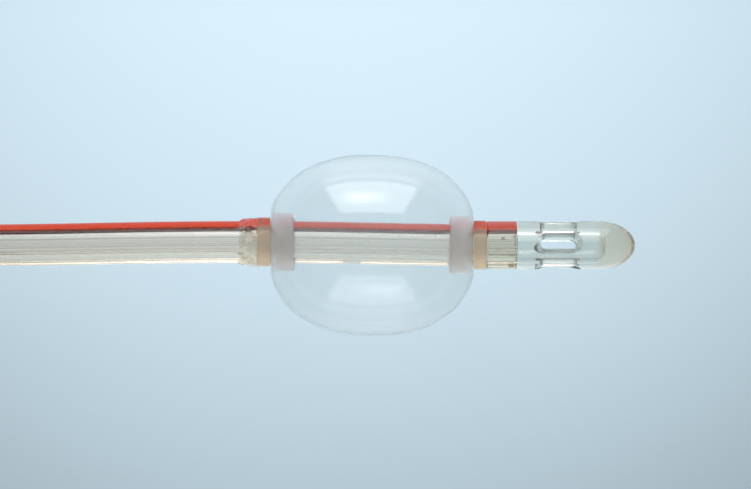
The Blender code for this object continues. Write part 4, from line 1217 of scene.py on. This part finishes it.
class CATHETER_OT_valve(bpy.types.Operator):
    """Luer port and barrel, plunger with its ring, and the spring that shuts it"""

    bl_idname = "catheter.valve"
    bl_label = "Inflation valve"

    def execute(self, context):
        sizes = context.scene.catheter_connector
        port, flange, barrel, chamber, throat = (v * MM for v in (3.3, 4.7, 3.25, 2.45, 1.35))
        mouth, luer_end = 2.135 * MM, 1.91 * MM
        rear_x, flange_x, port_x = (v * MM for v in (-10.0, 0.3, 1.8))
        mouth_x, luer_x, seat_x = (v * MM for v in (8.3, 0.8, -0.4))
        body = [(rear_x, chamber), (rear_x, barrel), (flange_x, barrel), (flange_x, flange), (port_x, flange)]
        body += [(port_x, port), (mouth_x, port), (mouth_x, mouth), (luer_x, luer_end), (luer_x, throat)]
        body += [(seat_x, throat), (seat_x, chamber)]
        middle = ((rear_x + seat_x) / 2, chamber)
        body = rounded([middle, *body, middle], 0.12 * MM)[:-1]
        housing = in_frame(turned("valve_housing", body, 96, ring=True), VALVE_FRAME)
        lugs = []
        ends = ((mouth_x - 1.5 * MM, 0.0, 0.0), (mouth_x - 0.1 * MM, 0.0, 0.0))
        for side in (-MM, MM):
            section = [(side * y, z * MM) for y, z in ((2.7, -1.3), (3.9, -1.1), (3.9, 1.1), (2.7, 1.3))]
            lugs.append(new_object("luer_lug", in_frame(bar("luer_lug", ends, section), VALVE_FRAME)))
        # Moulded polypropylene: milk-white, with a faint grain that breaks its highlights
        plastic = solid_material("moulded_polypropylene", linear("#E9EBE8"), 0.34, grain=2200.0)
        finished("valve_housing", carved(housing, [], lugs), plastic, "root", "valve_plastic", "valve_body")

        # (x, radius) outlines in millimetres
        base = [(-10.4, 0.7), (-11.5, 0.7), (-11.5, 3.25), (-10.3, 3.25), (-10.3, 2.33), (-9.2, 2.33)]
        base += [(-9.2, 0.7), (-10.4, 0.7)]
        base = rounded([(x * MM, radius * MM) for x, radius in base], 0.1 * MM)[:-1]
        cap = in_frame(turned("valve_cap", base, 96, ring=True), VALVE_FRAME)
        finished("valve_cap", cap, plastic, "root", "valve_plastic", "valve_base")

        stem = [(-4.94, 0.0), (-4.94, 0.8), (-2.54, 0.8), (-2.54, 2.1), (-1.54, 2.1), (-1.54, 1.1)]
        stem += [(4.8, 1.1), (4.8, 0.0)]
        stem = rounded([(x * MM, radius * MM) for x, radius in stem], 0.12 * MM)
        rod = in_frame(turned("valve_plunger", stem, 64), VALVE_FRAME)
        finished("valve_plunger", rod, plastic, "valve_plunger", "valve_plastic", "valve_stem")

        ring = [(z - 0.97 * MM, y) for y, z in round_section(0.45 * MM, 1.67 * MM, 20)]
        seal = in_frame(turned("valve_ring", ring, 64, ring=True), VALVE_FRAME)
        # Nitrile rubber: matt black
        rubber = solid_material("nitrile_rubber", linear("#1B1B1D"), 0.62, grain=3000.0)
        finished("valve_ring", seal, rubber, "valve_plunger", "seal_rubber", "valve_seal")

        low, high = -8.98 * MM, -2.76 * MM
        turns = sizes.spring_turns
        wire = sizes.spring_wire / 2
        coil = 1.45 * MM
        closed = 0.5 / turns
        points = []
        count = 32 * turns
        for i in range(count + 1):
            share = i / count
            rise = (min(max(share, closed), 1 - closed) - closed) / (1 - 2 * closed)
            angle = math.tau * turns * share
            along = low + wire + (high - low - 2 * wire) * rise
            points.append(VALVE_FRAME @ Vector((along, coil * math.cos(angle), coil * math.sin(angle))))
        # Drawn stainless wire: bright, with fine draw marks
        steel = solid_material("drawn_stainless_wire", linear("#C9CACB"), 0.22, metallic=1.0, grain=4000.0)
        values = {"Radius": wire, "Material": steel}
        mesh = by_nodes(route_curve("closing_spring", points), wire_tree(), values)
        mesh.shade_smooth()
        spring = finished("closing_spring", mesh, steel, "root", "spring_steel", "valve_spring")
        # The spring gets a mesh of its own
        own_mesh(spring)
        return {"FINISHED"}


def wire_tree():
    """Sweeps a round wire along a route, with closed ends."""
    tree, given, result = group_tree("round_wire", {"Radius": "Float"})
    section = node(tree, "GeometryNodeCurvePrimitiveCircle", {"Resolution": 12, "Radius": given["Radius"]})
    sockets = {"Curve": given["Geometry"], "Profile Curve": section, "Fill Caps": True}
    return end_tree(tree, node(tree, "GeometryNodeCurveToMesh", sockets), given, result)


class CATHETER_OT_cord(bpy.types.Operator):
    """Gathers the names of the free shaft's stripe, connector and valve, and leaves them unused"""

    bl_idname = "catheter.cord"
    bl_label = "Free length"

    def execute(self, context):
        names = ("free_stripe", "y_connector_skin", "colour_band", "valve_housing", "valve_cap")
        names += ("valve_plunger", "valve_ring", "closing_spring")
        return {"FINISHED"}


def eye_mesh(outside, inside):
    """Slot along +Z, straight at the lumen and flared toward the outside."""
    outer = (6.3 * MM, 3.2 * MM)
    throat = (5.3 * MM, 1.35 * MM)
    flare_height = 1.6 * MM
    rim_z = (outside + math.sqrt(outside**2 - (outer[1] / 2) ** 2)) / 2
    turn = math.pi / 4
    levels = [(inside * 0.45, 0.0)]
    steps = 10
    for i in range(steps + 1):
        angle = turn * i / steps
        height = rim_z - flare_height * (1 - math.sin(angle) / math.sin(turn))
        levels.append((height, (1 - math.cos(angle)) / (1 - math.cos(turn))))
    # The tool goes on past the skin, still flaring
    past_z = outside * 1.15
    levels.append((past_z, 1.0 + (past_z - rim_z) * 1.1 / (1.15 * MM)))
    bm = bmesh.new()
    loops = []
    for level, share in levels:
        half_length, half_width = ((a + (b - a) * share) / 2 for a, b in zip(throat, outer))
        loop = []
        for side, start in ((1, -math.pi / 2), (-1, math.pi / 2)):
            for i in range(25):
                angle = start + math.pi * i / 24
                x = side * (half_length - half_width) + half_width * math.cos(angle)
                loop.append(bm.verts.new((x, half_width * math.sin(angle), level)))
        loops.append(loop)
    count = len(loops[0])
    for low, high in zip(loops, loops[1:]):
        for i in range(count):
            j = (i + 1) % count
            bm.faces.new((low[i], low[j], high[j], high[i]))
    bm.faces.new(list(reversed(loops[0])))
    bm.faces.new(loops[-1])
    return mesh_from("eye_tool", bm)


class CATHETER_PT_panel(bpy.types.Panel):
    """Lists the pieces of the catheter"""

    bl_idname = "CATHETER_PT_panel"
    bl_label = "Catheter"
    bl_space_type = "VIEW_3D"
    bl_region_type = "UI"
    bl_category = "Catheter"

    def draw(self, context):
        for key in GROUPS:
            group = getattr(context.scene, key)
            box = self.layout.box()
            for field in group.bl_rna.properties.keys():
                if field not in ("rna_type", "name"):
                    box.prop(group, field)
        for operator in OPERATORS:
            self.layout.operator(operator.bl_idname)


OPERATORS = (
    CATHETER_OT_stage,
    CATHETER_OT_shaft,
    CATHETER_OT_balloon,
    CATHETER_OT_adhesive,
    CATHETER_OT_tip,
    CATHETER_OT_connector,
    CATHETER_OT_valve,
    CATHETER_OT_cord,
)
GROUPS = {
    "catheter_shaft": ShaftSizes,
    "catheter_balloon": BalloonSizes,
    "catheter_connector": ConnectorSizes,
    "catheter_finishes": Finishes,
}
CLASSES = (*GROUPS.values(), *OPERATORS, CATHETER_PT_panel)


def register():
    for item in CLASSES:
        bpy.utils.register_class(item)
    for key, group in GROUPS.items():
        setattr(bpy.types.Scene, key, PointerProperty(type=group))


def unregister():
    for key in GROUPS:
        delattr(bpy.types.Scene, key)
    for item in reversed(CLASSES):
        bpy.utils.unregister_class(item)


def main():
    register()
    bpy.ops.catheter.stage()
    bpy.ops.catheter.shaft()
    bpy.ops.catheter.balloon()
    bpy.ops.catheter.adhesive()
    bpy.ops.catheter.tip()
    bpy.ops.catheter.connector()
    bpy.ops.catheter.valve()
    bpy.ops.catheter.cord()


if __name__ == "__main__":
    main()
